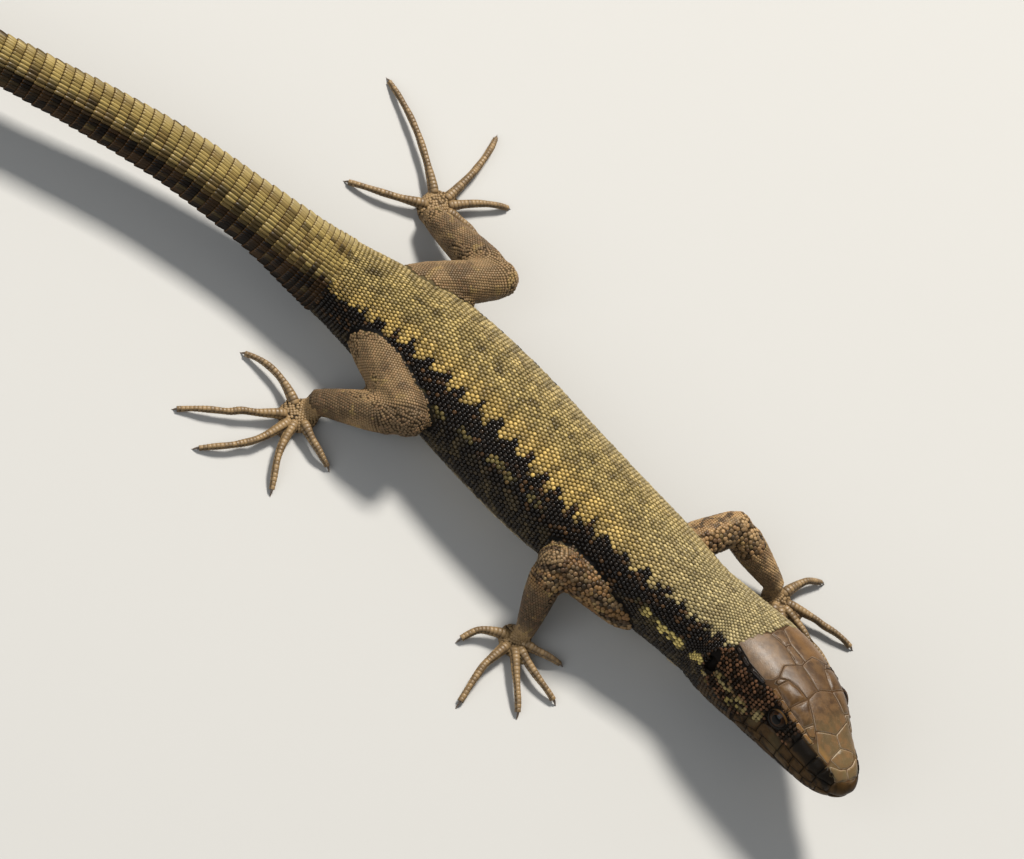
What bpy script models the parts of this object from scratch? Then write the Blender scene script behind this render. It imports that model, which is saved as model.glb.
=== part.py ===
"""A common wall lizard, an adult male, life size, resting flat with its forebody raised.

Metres, +Z up. The head points along +X and the animal's left side along +Y. The body is one
loft along a bent centre line, parted into head, jaw, neck, trunk and five lengths of tail.
Each leg is an upper and a lower length, a foot and five toes, every toe with its claw.
Belly, soles, toe tips and the end of the tail have small flats at one level, z = 0.
"""

import math

import bmesh
import bpy
from mathutils import Matrix, Vector

MM = 0.001

# Driving dimensions
SNOUT_TO_VENT = 63.5 * MM
TAIL_LENGTH_ALONG_X = 119.0 * MM
MOUTH_LENGTH = 11.0 * MM
MOUTH_DROP = 0.9 * MM
LIP_LENGTH = 2.0 * MM
LIP_DROP = 0.35 * MM
JAW_SLANT = 2.2 * MM
PAST_HEAD = 10.0 * MM
HEAD_HEADING = math.radians(-23.0)
HEAD_PITCH = math.radians(7.0)
EYE_RADIUS = 1.5 * MM
EYE_BEHIND_SNOUT = 8.6 * MM
EYE_OFF_MIDLINE = 3.1 * MM
EYE_ABOVE_SNOUT = 1.7 * MM
EAR_BEHIND_SNOUT = 15.0 * MM
EAR_LONG = 1.3 * MM
EAR_HIGH = 1.5 * MM
EAR_DEEP = 0.8 * MM
EAR_OFF_MIDLINE = 5.0 * MM
EAR_ABOVE_WIDEST = 0.8 * MM
GAP = 0.3 * MM

# How square the section is: 2 is an ellipse, more is flatter on top with rounder corners.
TRUNK_FULLNESS = 2.15
CROWN_FULLNESS = 2.7
CHEEK_FULLNESS = 2.5
# The snout closes over this length, with this bluntness
SNOUT_ROUNDING = 3.2 * MM
SNOUT_BLUNTNESS = 2.4
SNOUT_SMALLEST = 0.03
# The stretch, in millimetres in front of the vent, over which the neck turns into the head
HEAD_SHAPE_FROM = (42.0, 50.0)

# Stations of the body, tail tip to snout, in millimetres: distance in front of the vent,
# sideways place, half width, the heights of its top, widest level and underside, and how many
# degrees its back leans to the left.
BODY_STATIONS = (
    (-119.0, -3.4, 0.30, 0.60, 0.30, -0.02, 0.0),
    (-108.0, -7.4, 0.55, 1.00, 0.50, -0.04, 0.0),
    (-95.0, -11.0, 0.90, 1.65, 0.80, -0.06, 0.0),
    (-80.0, -13.4, 1.25, 2.40, 1.20, -0.06, 0.0),
    (-66.0, -13.8, 1.55, 4.30, 2.80, 1.30, 0.0),
    (-51.0, -12.4, 1.85, 6.80, 5.00, 3.20, 0.0),
    (-37.0, -9.1, 2.15, 8.40, 6.30, 4.20, 0.0),
    (-21.0, -4.2, 2.60, 8.30, 5.80, 3.30, 0.0),
    (-10.0, -2.2, 2.95, 7.90, 5.00, 2.20, 2.0),
    (-4.0, -1.5, 3.60, 7.80, 4.50, 1.20, 4.0),
    (3.0, -0.5, 5.00, 8.00, 4.30, 0.30, 6.0),
    (9.0, -0.3, 6.40, 8.70, 4.40, -0.15, 9.0),
    (17.0, -1.1, 7.10, 9.40, 4.60, -0.25, 12.0),
    (25.0, -2.1, 7.00, 9.80, 4.90, -0.10, 14.0),
    (32.0, -2.75, 6.35, 10.20, 5.50, 0.80, 13.0),
    (37.5, -3.2, 5.80, 10.50, 6.10, 1.60, 12.0),
    (42.0, -3.35, 4.95, 10.40, 6.00, 1.60, 11.0),
    (46.0, -3.2, 4.95, 10.40, 6.10, 1.40, 10.0),
    (49.8, -3.75, 5.30, 11.05, 6.70, 1.60, 10.0),
    (55.5, -5.35, 4.45, 11.65, 8.10, 3.20, 10.0),
    (59.5, -7.3, 3.05, 10.80, 8.40, 4.95, 10.0),
    (63.5, -8.75, 2.05, 9.60, 8.40, 6.50, 10.0),
)

# Where the body is parted: start and end in millimetres in front of the vent, the spacing
# of its rings, and the points round each ring
PARTING = (
    ("tail_5", -119.0, -94.0, 3.6, 12),
    ("tail_4", -94.0, -68.0, 3.6, 12),
    ("tail_3", -68.0, -43.0, 3.4, 14),
    ("tail_2", -43.0, -20.0, 3.0, 16),
    ("tail_1", -20.0, 0.0, 2.4, 20),
    ("trunk", 0.0, 38.0, 2.2, 26),
    ("neck", 38.0, 45.6, 1.5, 26),
    ("head", 45.6, 63.5, 1.0, 28),
)

# Legs, in millimetres from the vent: root inside the body, bend, ankle or wrist, sole, and the
# tips of the toes from the innermost, with the thickness of each length at its start and end.
LEGS = {
    "front_right": {
        "root": (37.6, -7.8, 5.2), "bend": (29.8, -10.4, 7.4), "ankle": (32.1, -14.4, 2.1),
        "sole": (31.9, -15.3), "thick": (3.8, 3.3, 2.1), "calf": 0.24, "palm": (1.75, 1.5),
        "toes": ((36.9, -13.2), (38.8, -16.9), (37.0, -20.9), (32.2, -24.5), (28.1, -19.2)),
        "bows": (0.3, 0.5, 0.2, 0.6, 0.9),
    },
    "front_left": {
        "root": (37.0, 0.2, 5.4), "bend": (40.2, 6.9, 5.6), "ankle": (46.3, 7.6, 2.0),
        "sole": (47.5, 7.3), "thick": (3.8, 3.3, 2.1), "calf": 0.24, "palm": (1.75, 1.5),
        "toes": ((49.6, 2.2), (53.3, 2.6), (56.0, 5.6), (55.9, 9.4), (49.9, 12.8)),
        "bows": (0.2, 0.3, 0.1, -0.1, -0.6),
    },
    "hind_right": {
        "root": (3.6, -3.6, 4.8), "bend": (11.6, -8.6, 6.3), "ankle": (4.7, -10.9, 2.1),
        "sole": (4.1, -12.6), "thick": (4.6, 3.95, 2.6), "calf": 0.2, "palm": (2.2, 1.8),
        "toes": ((9.7, -14.4), (7.3, -20.8), (-1.1, -22.6), (-4.8, -20.8), (-3.7, -11.2)),
        "bows": (0.5, 0.8, -1.3, -0.3, 0.9),
    },
    "hind_left": {
        "root": (3.6, 2.9, 4.8), "bend": (9.3, 10.0, 5.4), "ankle": (1.3, 12.6, 2.1),
        "sole": (0.6, 14.5), "thick": (4.6, 3.85, 2.6), "calf": 0.2, "palm": (2.2, 1.8),
        "toes": ((5.9, 15.3), (5.8, 20.6), (0.2, 26.0), (-11.1, 22.3), (-7.4, 10.3)),
        "bows": (-0.3, -0.3, 0.5, 0.7, -0.4),
    },
}
SOLE_HEIGHT = 0.85 * MM
PALM_LIFT = 0.8
TOE_STARTS = 0.35 * MM
TOE_BASE_RADIUS = 0.42 * MM
TOE_TIP_RADIUS = 0.27 * MM
# How far under a toe's own radius its middle line lies, so that it stands on a small flat
TOE_FLAT = 0.92
TOE_SLOPE = 0.73 * MM
KNUCKLE_RISE = 0.5 * MM
TOE_SIDES = 8
TOE_RINGS = 6
UPPER_BELLY = 0.06
KNEE_TAPER = 0.94
PALM_SIDES = 14
EYE_SIDES = 18
EAR_SIDES = 12
LIMB_SIDES = 12
LIMB_RINGS = 8
POLE_SHARE = 0.02

FINISHES = {
    "back_scales": ((0.30, 0.24, 0.10), 0.55),
    "tail_scales": ((0.26, 0.20, 0.10), 0.55),
    "head_shields": ((0.27, 0.18, 0.11), 0.38),
    "throat_scales": ((0.35, 0.30, 0.20), 0.50),
    "leg_scales": ((0.20, 0.14, 0.09), 0.55),
    "toe_scutes": ((0.36, 0.24, 0.15), 0.50),
    "eye": ((0.03, 0.015, 0.01), 0.08),
}


def clear_scene():
    for old in list(bpy.data.objects):
        bpy.data.objects.remove(old)


def new_collection(name):
    made = bpy.data.collections.new(name)
    bpy.context.scene.collection.children.link(made)
    return made


def new_finish(name):
    colour, roughness = FINISHES[name]
    made = bpy.data.materials.new(name)
    made.use_nodes = True
    shader = made.node_tree.nodes["Principled BSDF"]
    shader.inputs["Base Color"].default_value = (*colour, 1)
    shader.inputs["Roughness"].default_value = roughness
    shader.inputs["Metallic"].default_value = 0.0
    made.diffuse_color = (*colour, 1)
    return made


def smooth_table(rows, place):
    """A row between the table's rows, by a cubic whose slopes follow the neighbours."""
    last = len(rows) - 1
    index = max(i for i in range(last) if rows[i][0] <= place or i == 0)
    low, high = rows[index], rows[index + 1]
    before, after = rows[max(index - 1, 0)], rows[min(index + 2, last)]
    span = high[0] - low[0]
    t = min(max((place - low[0]) / span, 0.0), 1.0)
    weights = (2 * t**3 - 3 * t**2 + 1, t**3 - 2 * t**2 + t, 3 * t**2 - 2 * t**3, t**3 - t**2)
    found = []
    for column in range(1, len(low)):
        slope_low = (high[column] - before[column]) / (high[0] - before[0]) * span
        slope_high = (after[column] - low[column]) / (after[0] - low[0]) * span
        parts = (low[column], slope_low, high[column], slope_high)
        found.append(sum(w * part for w, part in zip(weights, parts)))
    return found


def eased(place, start, end):
    t = min(max((place - start) / (end - start), 0.0), 1.0)
    return t * t * (3 - 2 * t)


def heading_at(place):
    """The sideways angle of the centre line, from a millimetre behind to one ahead."""
    front = min(place + 1, SNOUT_TO_VENT / MM)
    rear = max(place - 1, -TAIL_LENGTH_ALONG_X / MM)
    aside = smooth_table(BODY_STATIONS, front)[0] - smooth_table(BODY_STATIONS, rear)[0]
    return math.atan2(aside, front - rear)


def body_ring(place, sides, grown=0.0):
    """Points round the body at a distance in front of the vent, on a flat-bottomed section."""
    *sizes, lean = smooth_table(BODY_STATIONS, place)
    y, half_width, top, widest, bottom = (size * MM for size in sizes)
    to_snout = (SNOUT_TO_VENT / MM - place) * MM
    taper = 1.0
    if to_snout < SNOUT_ROUNDING:
        shut = (1 - to_snout / SNOUT_ROUNDING) ** SNOUT_BLUNTNESS
        taper = math.sqrt(max(1 - shut, SNOUT_SMALLEST))
    head_share = eased(place, *HEAD_SHAPE_FROM)
    full_above = TRUNK_FULLNESS + (CROWN_FULLNESS - TRUNK_FULLNESS) * head_share
    full_below = TRUNK_FULLNESS + (CHEEK_FULLNESS - TRUNK_FULLNESS) * head_share
    heading = heading_at(place) * (1 - head_share) + HEAD_HEADING * head_share
    turn = Matrix.Rotation(heading, 3, "Z") @ Matrix.Rotation(-math.radians(lean), 3, "X")
    centre = Vector((place * MM, y, widest))
    ring = []
    for i in range(sides):
        angle = 2 * math.pi * (i + 0.5) / sides
        across, up = math.cos(angle), math.sin(angle)
        power = 2 / (full_above if up > 0 else full_below)
        reach = (top - widest if up > 0 else widest - bottom) * taper + grown
        side = math.copysign(abs(across) ** power, across) * (half_width * taper + grown)
        rise = math.copysign(abs(up) ** power, up) * reach
        point = centre + turn @ Vector((0, side, rise))
        point.z = max(point.z, 0.0) if not grown else point.z
        ring.append(point)
    return ring


def tube_ring(centre, along, radius, sides, flat_on_floor=True):
    """Points round a limb, square to its direction."""
    across = along.cross(Vector((0, 0, 1)))
    if across.length < 1e-6:
        across = Vector((0, 1, 0))
    across.normalize()
    up = across.cross(along).normalized()
    ring = []
    for i in range(sides):
        angle = 2 * math.pi * (i + 0.5) / sides
        point = centre + across * (math.cos(angle) * radius) + up * (math.sin(angle) * radius)
        if flat_on_floor:
            point.z = max(point.z, 0.0)
        ring.append(point)
    return ring


def loft(name, rings, collection, finish=None):
    """A closed skin over the rings, its two ends fanned from their middles."""
    mesh = bmesh.new()
    rows = [[mesh.verts.new(point) for point in ring] for ring in rings]
    sides = len(rows[0])
    for low, high in zip(rows, rows[1:]):
        for i in range(sides):
            j = (i + 1) % sides
            mesh.faces.new((low[i], low[j], high[j], high[i]))
    for row in (rows[0], rows[-1]):
        middle = mesh.verts.new(sum((v.co for v in row), Vector()) / sides)
        for i in range(sides):
            mesh.faces.new((row[i], middle, row[(i + 1) % sides]))
    bmesh.ops.recalc_face_normals(mesh, faces=mesh.faces)
    data = bpy.data.meshes.new(name)
    mesh.to_mesh(data)
    mesh.free()
    data.shade_smooth()
    made = bpy.data.objects.new(name, data)
    collection.objects.link(made)
    if finish:
        data.materials.append(finish)
    else:
        made.hide_render = True
        made.display_type = "WIRE"
    return made


def boolean(target, cutter, operation="DIFFERENCE"):
    modifier = target.modifiers.new(f"{operation.lower()} {cutter.name}", "BOOLEAN")
    modifier.operation = operation
    modifier.object = cutter
    modifier.solver = "EXACT"


def body_length(name, start, end, spacing, sides, collection, finish=None, grown=0.0):
    """One length of the body, half a gap short at each parting."""
    inset = GAP / MM / 2 if not grown else 0.0
    low, high = start + inset, end - inset
    count = max(2, round((high - low) / spacing))
    # The head's rings crowd towards the snout, where the form turns fastest.
    crowding = 1.35 if name == "head" else 1.0
    places = [high - (high - low) * (1 - i / count) ** crowding for i in range(count + 1)]
    rings = [body_ring(place, sides, grown) for place in places]
    return loft(name, rings, collection, finish)


def head_frame(behind_snout=0.0):
    """A place on the head's middle line, with X along the head and Z up through the crown."""
    place = SNOUT_TO_VENT - behind_snout
    y, _, _, widest, _, lean = smooth_table(BODY_STATIONS, place / MM)
    heading = Matrix.Rotation(HEAD_HEADING, 4, "Z")
    pitch = Matrix.Rotation(-HEAD_PITCH, 4, "Y")
    roll = Matrix.Rotation(-math.radians(lean), 4, "X")
    return Matrix.Translation((place, y * MM, widest * MM)) @ heading @ pitch @ roll


def block(name, frame, outline, half_depth, collection):
    """A cutter: an upright outline in the frame's XZ plane, given a depth along Y."""
    mesh = bmesh.new()
    corners = [mesh.verts.new(frame @ Vector((x, -half_depth, z))) for x, z in outline]
    face = mesh.faces.new(corners)
    pushed = bmesh.ops.extrude_face_region(mesh, geom=[face])["geom"]
    moved = [v for v in pushed if isinstance(v, bmesh.types.BMVert)]
    bmesh.ops.translate(
        mesh, verts=moved, vec=frame.to_3x3() @ Vector((0, 2 * half_depth, 0))
    )
    bmesh.ops.recalc_face_normals(mesh, faces=mesh.faces)
    data = bpy.data.meshes.new(name)
    mesh.to_mesh(data)
    mesh.free()
    made = bpy.data.objects.new(name, data)
    made.hide_render = True
    made.display_type = "WIRE"
    collection.objects.link(made)
    return made


def ball(name, frame, radii, collection, finish, sides):
    """An ellipsoid with the given radii, its poles on the frame's X axis."""
    mesh = bmesh.new()
    bmesh.ops.create_uvsphere(mesh, u_segments=sides, v_segments=sides // 2, radius=1.0)
    bmesh.ops.transform(mesh, matrix=Matrix.Rotation(math.pi / 2, 4, "Y"), verts=mesh.verts)
    bmesh.ops.transform(mesh, matrix=frame @ Matrix.Diagonal((*radii, 1)), verts=mesh.verts)
    bmesh.ops.recalc_face_normals(mesh, faces=mesh.faces)
    for vert in mesh.verts:
        vert.co.z = max(vert.co.z, 0.0) if finish else vert.co.z
    data = bpy.data.meshes.new(name)
    mesh.to_mesh(data)
    mesh.free()
    data.shade_smooth()
    made = bpy.data.objects.new(name, data)
    collection.objects.link(made)
    if finish:
        data.materials.append(finish)
    else:
        made.hide_render = True
        made.display_type = "WIRE"
    return made


def make_jaw(head, parts, cutters, finish):
    """Parts the lower jaw from the head along the shut mouth."""
    jaw = bpy.data.objects.new("lower_jaw", head.data.copy())
    jaw.data.materials.clear()
    jaw.data.materials.append(finish)
    parts.objects.link(jaw)
    frame = head_frame()
    for name, gap, operation, owner in (
        ("jaw_room", GAP / 2, "DIFFERENCE", head),
        ("jaw_shape", -GAP / 2, "INTERSECT", jaw),
    ):
        outline = (
            (PAST_HEAD, -LIP_DROP / 3 + gap),
            (-LIP_LENGTH, -LIP_DROP + gap),
            (-MOUTH_LENGTH - gap, -MOUTH_DROP + gap),
            (-MOUTH_LENGTH - JAW_SLANT - gap, -PAST_HEAD),
            (PAST_HEAD, -PAST_HEAD),
        )
        boolean(owner, block(name, frame, outline, PAST_HEAD, cutters), operation)


def make_eyes(head, parts, cutters, finish):
    """Two eyeballs, each in a socket cut a gap wider."""
    for side, sign in (("right", -1), ("left", 1)):
        offset = (-EYE_BEHIND_SNOUT, sign * EYE_OFF_MIDLINE, EYE_ABOVE_SNOUT)
        place = head_frame() @ Matrix.Translation(offset)
        ball(f"eye_{side}", place, (EYE_RADIUS,) * 3, parts, finish, EYE_SIDES)
        socket = ball(f"socket_{side}", place, (EYE_RADIUS + GAP,) * 3, cutters, None, EYE_SIDES)
        boolean(head, socket)


def make_ears(head, cutters):
    """A shallow upright hollow on each side, behind the corner of the mouth."""
    for side, sign in (("right", -1), ("left", 1)):
        offset = (0, sign * EAR_OFF_MIDLINE, EAR_ABOVE_WIDEST)
        place = head_frame(EAR_BEHIND_SNOUT) @ Matrix.Translation(offset)
        radii = (EAR_LONG / 2, EAR_DEEP, EAR_HIGH / 2)
        boolean(head, ball(f"ear_{side}", place, radii, cutters, None, EAR_SIDES))


def limb_length(name, shape, collection, finish=None, grown=0.0):
    """A fleshy length of leg: round at both ends, fullest a third of the way along."""
    start, end, thick_start, thick_end, belly = shape
    along = (end - start).normalized()
    length = (end - start).length
    rings = []
    reach_low, reach_high = thick_start / 2 + grown, thick_end / 2 + grown
    for i in range(LIMB_RINGS + 1):
        # Equal angles from end to end crowd the rings where the ends round off.
        t = (1 - math.cos(math.pi * (i + 0.35) / (LIMB_RINGS + 0.7))) / 2
        run = -reach_low + t * (length + reach_low + reach_high)
        share = min(max(run / length, 0.0), 1.0)
        radius = (thick_start + (thick_end - thick_start) * share) / 2
        radius *= 1 + belly * math.sin(math.pi * share**0.8)
        radius += grown
        if run < 0:
            radius *= math.sqrt(max(1 - (run / reach_low) ** 2, POLE_SHARE))
        if run > length:
            radius *= math.sqrt(max(1 - ((run - length) / reach_high) ** 2, POLE_SHARE))
        rings.append(tube_ring(start + along * run, along, radius, LIMB_SIDES, not grown))
    return loft(name, rings, collection, finish)


def toe(name, sole, tip, bow, collection, finish):
    """A thin toe that rises from the sole, bends at the knuckle and ends in a blunt claw."""
    length = (tip - sole).length
    outward = (tip - sole).normalized()
    sideways = outward.cross(Vector((0, 0, 1)))
    rings = []
    for i in range(TOE_RINGS + 1):
        t = i / TOE_RINGS
        radius = TOE_BASE_RADIUS + (TOE_TIP_RADIUS - TOE_BASE_RADIUS) * t**1.3
        rise = TOE_SLOPE * (1 - t) ** 1.5 + KNUCKLE_RISE * math.sin(math.pi * t**1.4)
        centre = sole + outward * (TOE_STARTS + (length - TOE_STARTS) * t)
        centre += sideways * (bow * math.sin(math.pi * t))
        centre.z = radius * TOE_FLAT + rise
        rings.append(tube_ring(centre, outward, radius, TOE_SIDES))
    return loft(name, rings, collection, finish)


def make_leg(name, sizes, trunk_room, parts, cutters, finishes):
    """Upper and lower lengths, foot and toes, each cut a gap clear of what it grows from."""
    root, bend, ankle = (Vector(sizes[k]) * MM for k in ("root", "bend", "ankle"))
    thick_root, thick_bend, thick_ankle = (v * MM for v in sizes["thick"])
    limb_finish, foot_finish = finishes
    upper_shape = (root, bend, thick_root, thick_bend, UPPER_BELLY)
    lower_shape = (bend, ankle, thick_bend * KNEE_TAPER, thick_ankle, sizes["calf"])
    upper = limb_length(f"{name}_upper", upper_shape, parts, limb_finish)
    lower = limb_length(f"{name}_lower", lower_shape, parts, limb_finish)
    upper_room = limb_length(f"{name}_upper_room", upper_shape, cutters, grown=GAP)
    lower_room = limb_length(f"{name}_lower_room", lower_shape, cutters, grown=GAP)
    boolean(upper, trunk_room)
    boolean(lower, trunk_room)
    boolean(lower, upper_room)

    sole = Vector((*sizes["sole"], 0.0)) * MM
    tips = [Vector((*tip, 0.0)) * MM for tip in sizes["toes"]]
    middle_toe = tips[2] - sole
    turn = Matrix.Rotation(math.atan2(middle_toe.y, middle_toe.x), 4, "Z")
    frame = Matrix.Translation(sole + Vector((0, 0, SOLE_HEIGHT * 0.8))) @ turn
    palm = (sizes["palm"][0] * MM, sizes["palm"][1] * MM, SOLE_HEIGHT)
    palm_room = tuple(radius + GAP for radius in palm)
    foot = ball(f"{name}_foot", frame, palm, parts, foot_finish, PALM_SIDES)
    foot_room = ball(f"{name}_foot_room", frame, palm_room, cutters, None, PALM_SIDES)
    boolean(foot, lower_room)
    for number, (tip, bow) in enumerate(zip(tips, sizes["bows"]), start=1):
        digit = toe(f"{name}_toe_{number}", sole, tip, bow * MM, parts, foot_finish)
        boolean(digit, foot_room)
        boolean(digit, lower_room)


def centre_on_origin(parts, cutters):
    """Moves everything so that the origin is under the middle of the box, on the floor."""
    bpy.context.view_layer.update()
    graph = bpy.context.evaluated_depsgraph_get()
    corners = []
    for part in parts.objects:
        shape = part.evaluated_get(graph).to_mesh()
        corners.extend(v.co.copy() for v in shape.vertices)
    low = Vector(min(c[i] for c in corners) for i in range(3))
    high = Vector(max(c[i] for c in corners) for i in range(3))
    shift = Matrix.Translation((-(low.x + high.x) / 2, -(low.y + high.y) / 2, 0))
    for thing in (*parts.objects, *cutters.objects):
        thing.data.transform(shift)


def build():
    clear_scene()
    parts, cutters = new_collection("wall_lizard"), new_collection("cutters")
    finish = {name: new_finish(name) for name in FINISHES}
    looks = {
        "trunk": finish["back_scales"],
        "neck": finish["back_scales"],
        "head": finish["head_shields"],
    }
    for name, start, end, spacing, sides in PARTING:
        look = looks.get(name, finish["tail_scales"])
        body_length(name, start, end, spacing, sides, parts, look)
    head = parts.objects["head"]
    make_jaw(head, parts, cutters, finish["throat_scales"])
    make_eyes(head, parts, cutters, finish["eye"])
    make_ears(head, cutters)
    trunk_room = body_length("trunk_room", -12.0, 48.0, 2.5, 24, cutters, None, GAP)
    for name, sizes in LEGS.items():
        make_leg(name, sizes, trunk_room, parts, cutters, (finish["leg_scales"], finish["toe_scutes"]))
    centre_on_origin(parts, cutters)


build()
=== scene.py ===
"""Looks of a life-size common wall lizard: one skin, its scales, head shields, eyes and claws.

Everything is built around the packed solids. The body, each length of leg and each toe are
first unrolled into sheets, so that scales and markings are placed by their distance along the
animal and round it. Lengths are in metres, and distances on a sheet are in millimetres.
"""

from itertools import product
from math import ceil, copysign, cos, exp, pi, radians, sin
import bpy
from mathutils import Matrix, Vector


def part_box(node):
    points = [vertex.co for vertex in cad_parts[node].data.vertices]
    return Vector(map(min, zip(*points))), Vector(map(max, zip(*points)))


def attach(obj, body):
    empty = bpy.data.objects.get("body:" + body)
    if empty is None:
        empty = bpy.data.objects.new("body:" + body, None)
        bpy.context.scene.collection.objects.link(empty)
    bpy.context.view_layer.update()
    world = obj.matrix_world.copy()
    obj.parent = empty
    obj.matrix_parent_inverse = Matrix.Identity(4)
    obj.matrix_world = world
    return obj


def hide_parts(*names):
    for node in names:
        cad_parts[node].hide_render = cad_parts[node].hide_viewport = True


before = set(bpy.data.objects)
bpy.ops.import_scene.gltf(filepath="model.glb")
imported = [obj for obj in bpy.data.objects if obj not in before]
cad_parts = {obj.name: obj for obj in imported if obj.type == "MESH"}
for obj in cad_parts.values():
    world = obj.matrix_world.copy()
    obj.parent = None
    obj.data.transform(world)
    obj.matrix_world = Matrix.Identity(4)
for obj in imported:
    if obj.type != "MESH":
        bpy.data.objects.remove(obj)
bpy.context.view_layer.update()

from types import SimpleNamespace

import bmesh
import bpy
import numpy as np
from bpy.props import FloatProperty, FloatVectorProperty, IntProperty, PointerProperty
from mathutils import Matrix, Vector
from mathutils.bvhtree import BVHTree
from mathutils.kdtree import KDTree
from numpy.linalg import norm

bl_info = {
    "name": "Wall lizard looks",
    "version": (1, 0, 0),
    "blender": (4, 5, 0),
    "location": "3D View > Sidebar > Lizard",
    "description": "Builds the skin, scales, shields, eyes and claws of a wall lizard",
    "category": "Object",
}

MM = 0.001
TAIL_NODES = ("tail_5", "tail_4", "tail_3", "tail_2", "tail_1")
HEAD_NODES = ("head", "lower_jaw")
EYE_NODES = ("eye_right", "eye_left")
BODY_NODES = (*TAIL_NODES, "trunk", "neck", *HEAD_NODES)
LEGS = ("front_right", "front_left", "hind_right", "hind_left")
LIMB_NODES = tuple(f"{leg}_{part}" for leg in LEGS for part in ("upper", "lower"))
FOOT_NODES = tuple(f"{leg}_foot" for leg in LEGS)
TOE_NODES = tuple(f"{leg}_toe_{number}" for leg in LEGS for number in range(1, 6))
FLESH_NODES = (*BODY_NODES, *LIMB_NODES, *FOOT_NODES, *TOE_NODES)
SIDES = (("right", -1), ("left", 1))

# The zones that the finishes tell apart, as the first number of each mark
ZONE_NAMES = ("back", "tail", "belly", "shield", "temple", "lip", "leg", "toe")
ZONE = {name: float(number) for number, name in enumerate(ZONE_NAMES)}

# Distances along the body from the snout's tip, and the share round it where the belly starts
BACK_START = 12.8
COLLAR = 20.6
VENT = 64.0
TAIL_START = 66.6
FLANK_SHARE = 0.76
# Where the dark band of the flank starts: distance along, and arc from the midline
BAND_TOP = (
    (0, 5.2), (12, 4.6), (16, 3.9), (20, 3.7), (24, 4.1), (30, 4.9), (35, 5.5), (40, 5.4), (45, 5.1),
    (50, 4.9), (55, 4.7), (60, 4.3), (65, 3.8), (70, 3.1), (75, 2.6), (80, 2.2), (85, 1.9), (90, 1.6),
    (95, 1.3), (110, 1.1), (140, 0.9), (187, 0.5),
)
# Millimetres in front of the vent, and the degrees by which the back leans there
LEANS = ((-21, 0), (-10, 2), (-4, 4), (3, 6), (9, 9), (17, 12), (25, 14), (32, 13), (42, 11), (46, 10))
# Distance along, with the rows' gaps as shares of the pitch, and with the whorls' gaps
ROW_GAPS = ((18, 0.89), (30, 1.0), (52, 1.0), (60, 1.05), (66, 1.1))
WHORL_GAPS = (
    (TAIL_START, 0.42), (69, 0.6), (72, 0.9), (76, 1.08), (80, 1.05), (95, 0.98), (130, 0.9), (186, 0.7),
)
TAIL_PLATE_WIDTH = 0.72

# How the head is turned, in degrees, and distances along it and arcs round it. The crown's bank
# is where its colour ends, and its light the factor that makes it paler at the snout and darker over
# its middle: partly the shields' own tones, partly painted light and shade.
HEAD_LEAN = 10.0
HEAD_HEADING = -23.0
HEAD_PITCH = 7.0
HEAD_END = 15.4
MIDLINE_ARC = -0.22
CROWN_EDGE = ((0, 1.0), (1, 1.7), (3, 2.5), (5, 3.2), (8, 4.0), (11, 4.3))
CROWN_BANK = (
    (0, 1.0), (1, 1.6), (2.2, 2.1), (3.4, 2.6), (5, 3.3), (6.5, 3.9), (8, 4.3), (10, 4.6), (16, 4.7),
)
CROWN_LIGHT = (
    (0, 1.5), (2, 1.45), (4, 1.15), (6.5, 0.98), (8, 0.82), (10.2, 0.78), (11.6, 0.92), (16, 0.94),
)
MOUTH_LINE = ((0, 1.6), (1, 3.2), (2, 4.3), (3, 5.1), (5, 6.4), (7, 7.4), (9, 8.5), (11, 10.1), (16, 10.8))
MOUTH_END = 11.2
GAPE_ARC = 9.6
CHIN_START = 6.2
CHIN_END = 8.6
EAR_ALONG = 15.5
EAR_HIGH = 1.5
EAR_LONG = 0.62
NOSTRIL_PLACE = (1.45, 1.95)
# Rings of the nostril and of the eyelid: how wide or how far out, the lift, and the rise
NOSTRIL_RINGS = (
    (0.30, 0.02, 0.6), (0.25, 0.12, 1.0), (0.19, 0.125, 0.9), (0.15, 0.10, 0.2), (0.02, 0.095, 0.0),
)
LID_RINGS = (
    (0.0, -0.10, 0.4), (0.0, 0.07, 0.9), (0.06, 0.12, 1.0), (0.14, 0.08, 0.6), (0.2, 0.06, 0.1),
    (0.45, 0.05, 0.0), (0.8, -0.16, 0.0),
)

# The eye's place and radius, and the lids' half opening and reach as angles
EYE_BEHIND_SNOUT = 8.6
EYE_ABOVE_SNOUT = 1.7
EYE_RADIUS = 1.38
LID_LONG = 0.76
LID_ABOVE = 0.52
LID_BELOW = 0.60
LID_REACH = 1.45

# Legs and toes: gaps between granules, how far the upper arm and a ray reach, and the toes' plates
LEG_PITCH = 0.265
RING_SHARE = 0.87
LEG_REACH = 3.8
UPPER_ARM = 7.5
TOE_PITCH = 0.38
TOE_RADII = (0.40, 0.52, 0.41, 0.34, 0.29, 0.22)
TOE_PLATE_ROWS = (
    (-0.02, -0.12, 0.0), (0.0, 0.025, 0.3), (0.45, 0.035, 0.8), (0.9, 0.045, 1.0), (0.985, 0.03, 0.4),
    (1.0, -0.1, 0.0),
)
CLAW_LENGTH = 0.95

# How deep a root may lie in the skin, the steps of a shield's outline, and half the seam
ROOT_DEPTH = 0.1
SHIELD_STEP = 0.22
SHIELD_GAP = 0.012


def line_through(places, heights):
    """A function that gives the height at a place, straight between the stops."""
    return lambda place: float(np.interp(place, places, heights))


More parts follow.
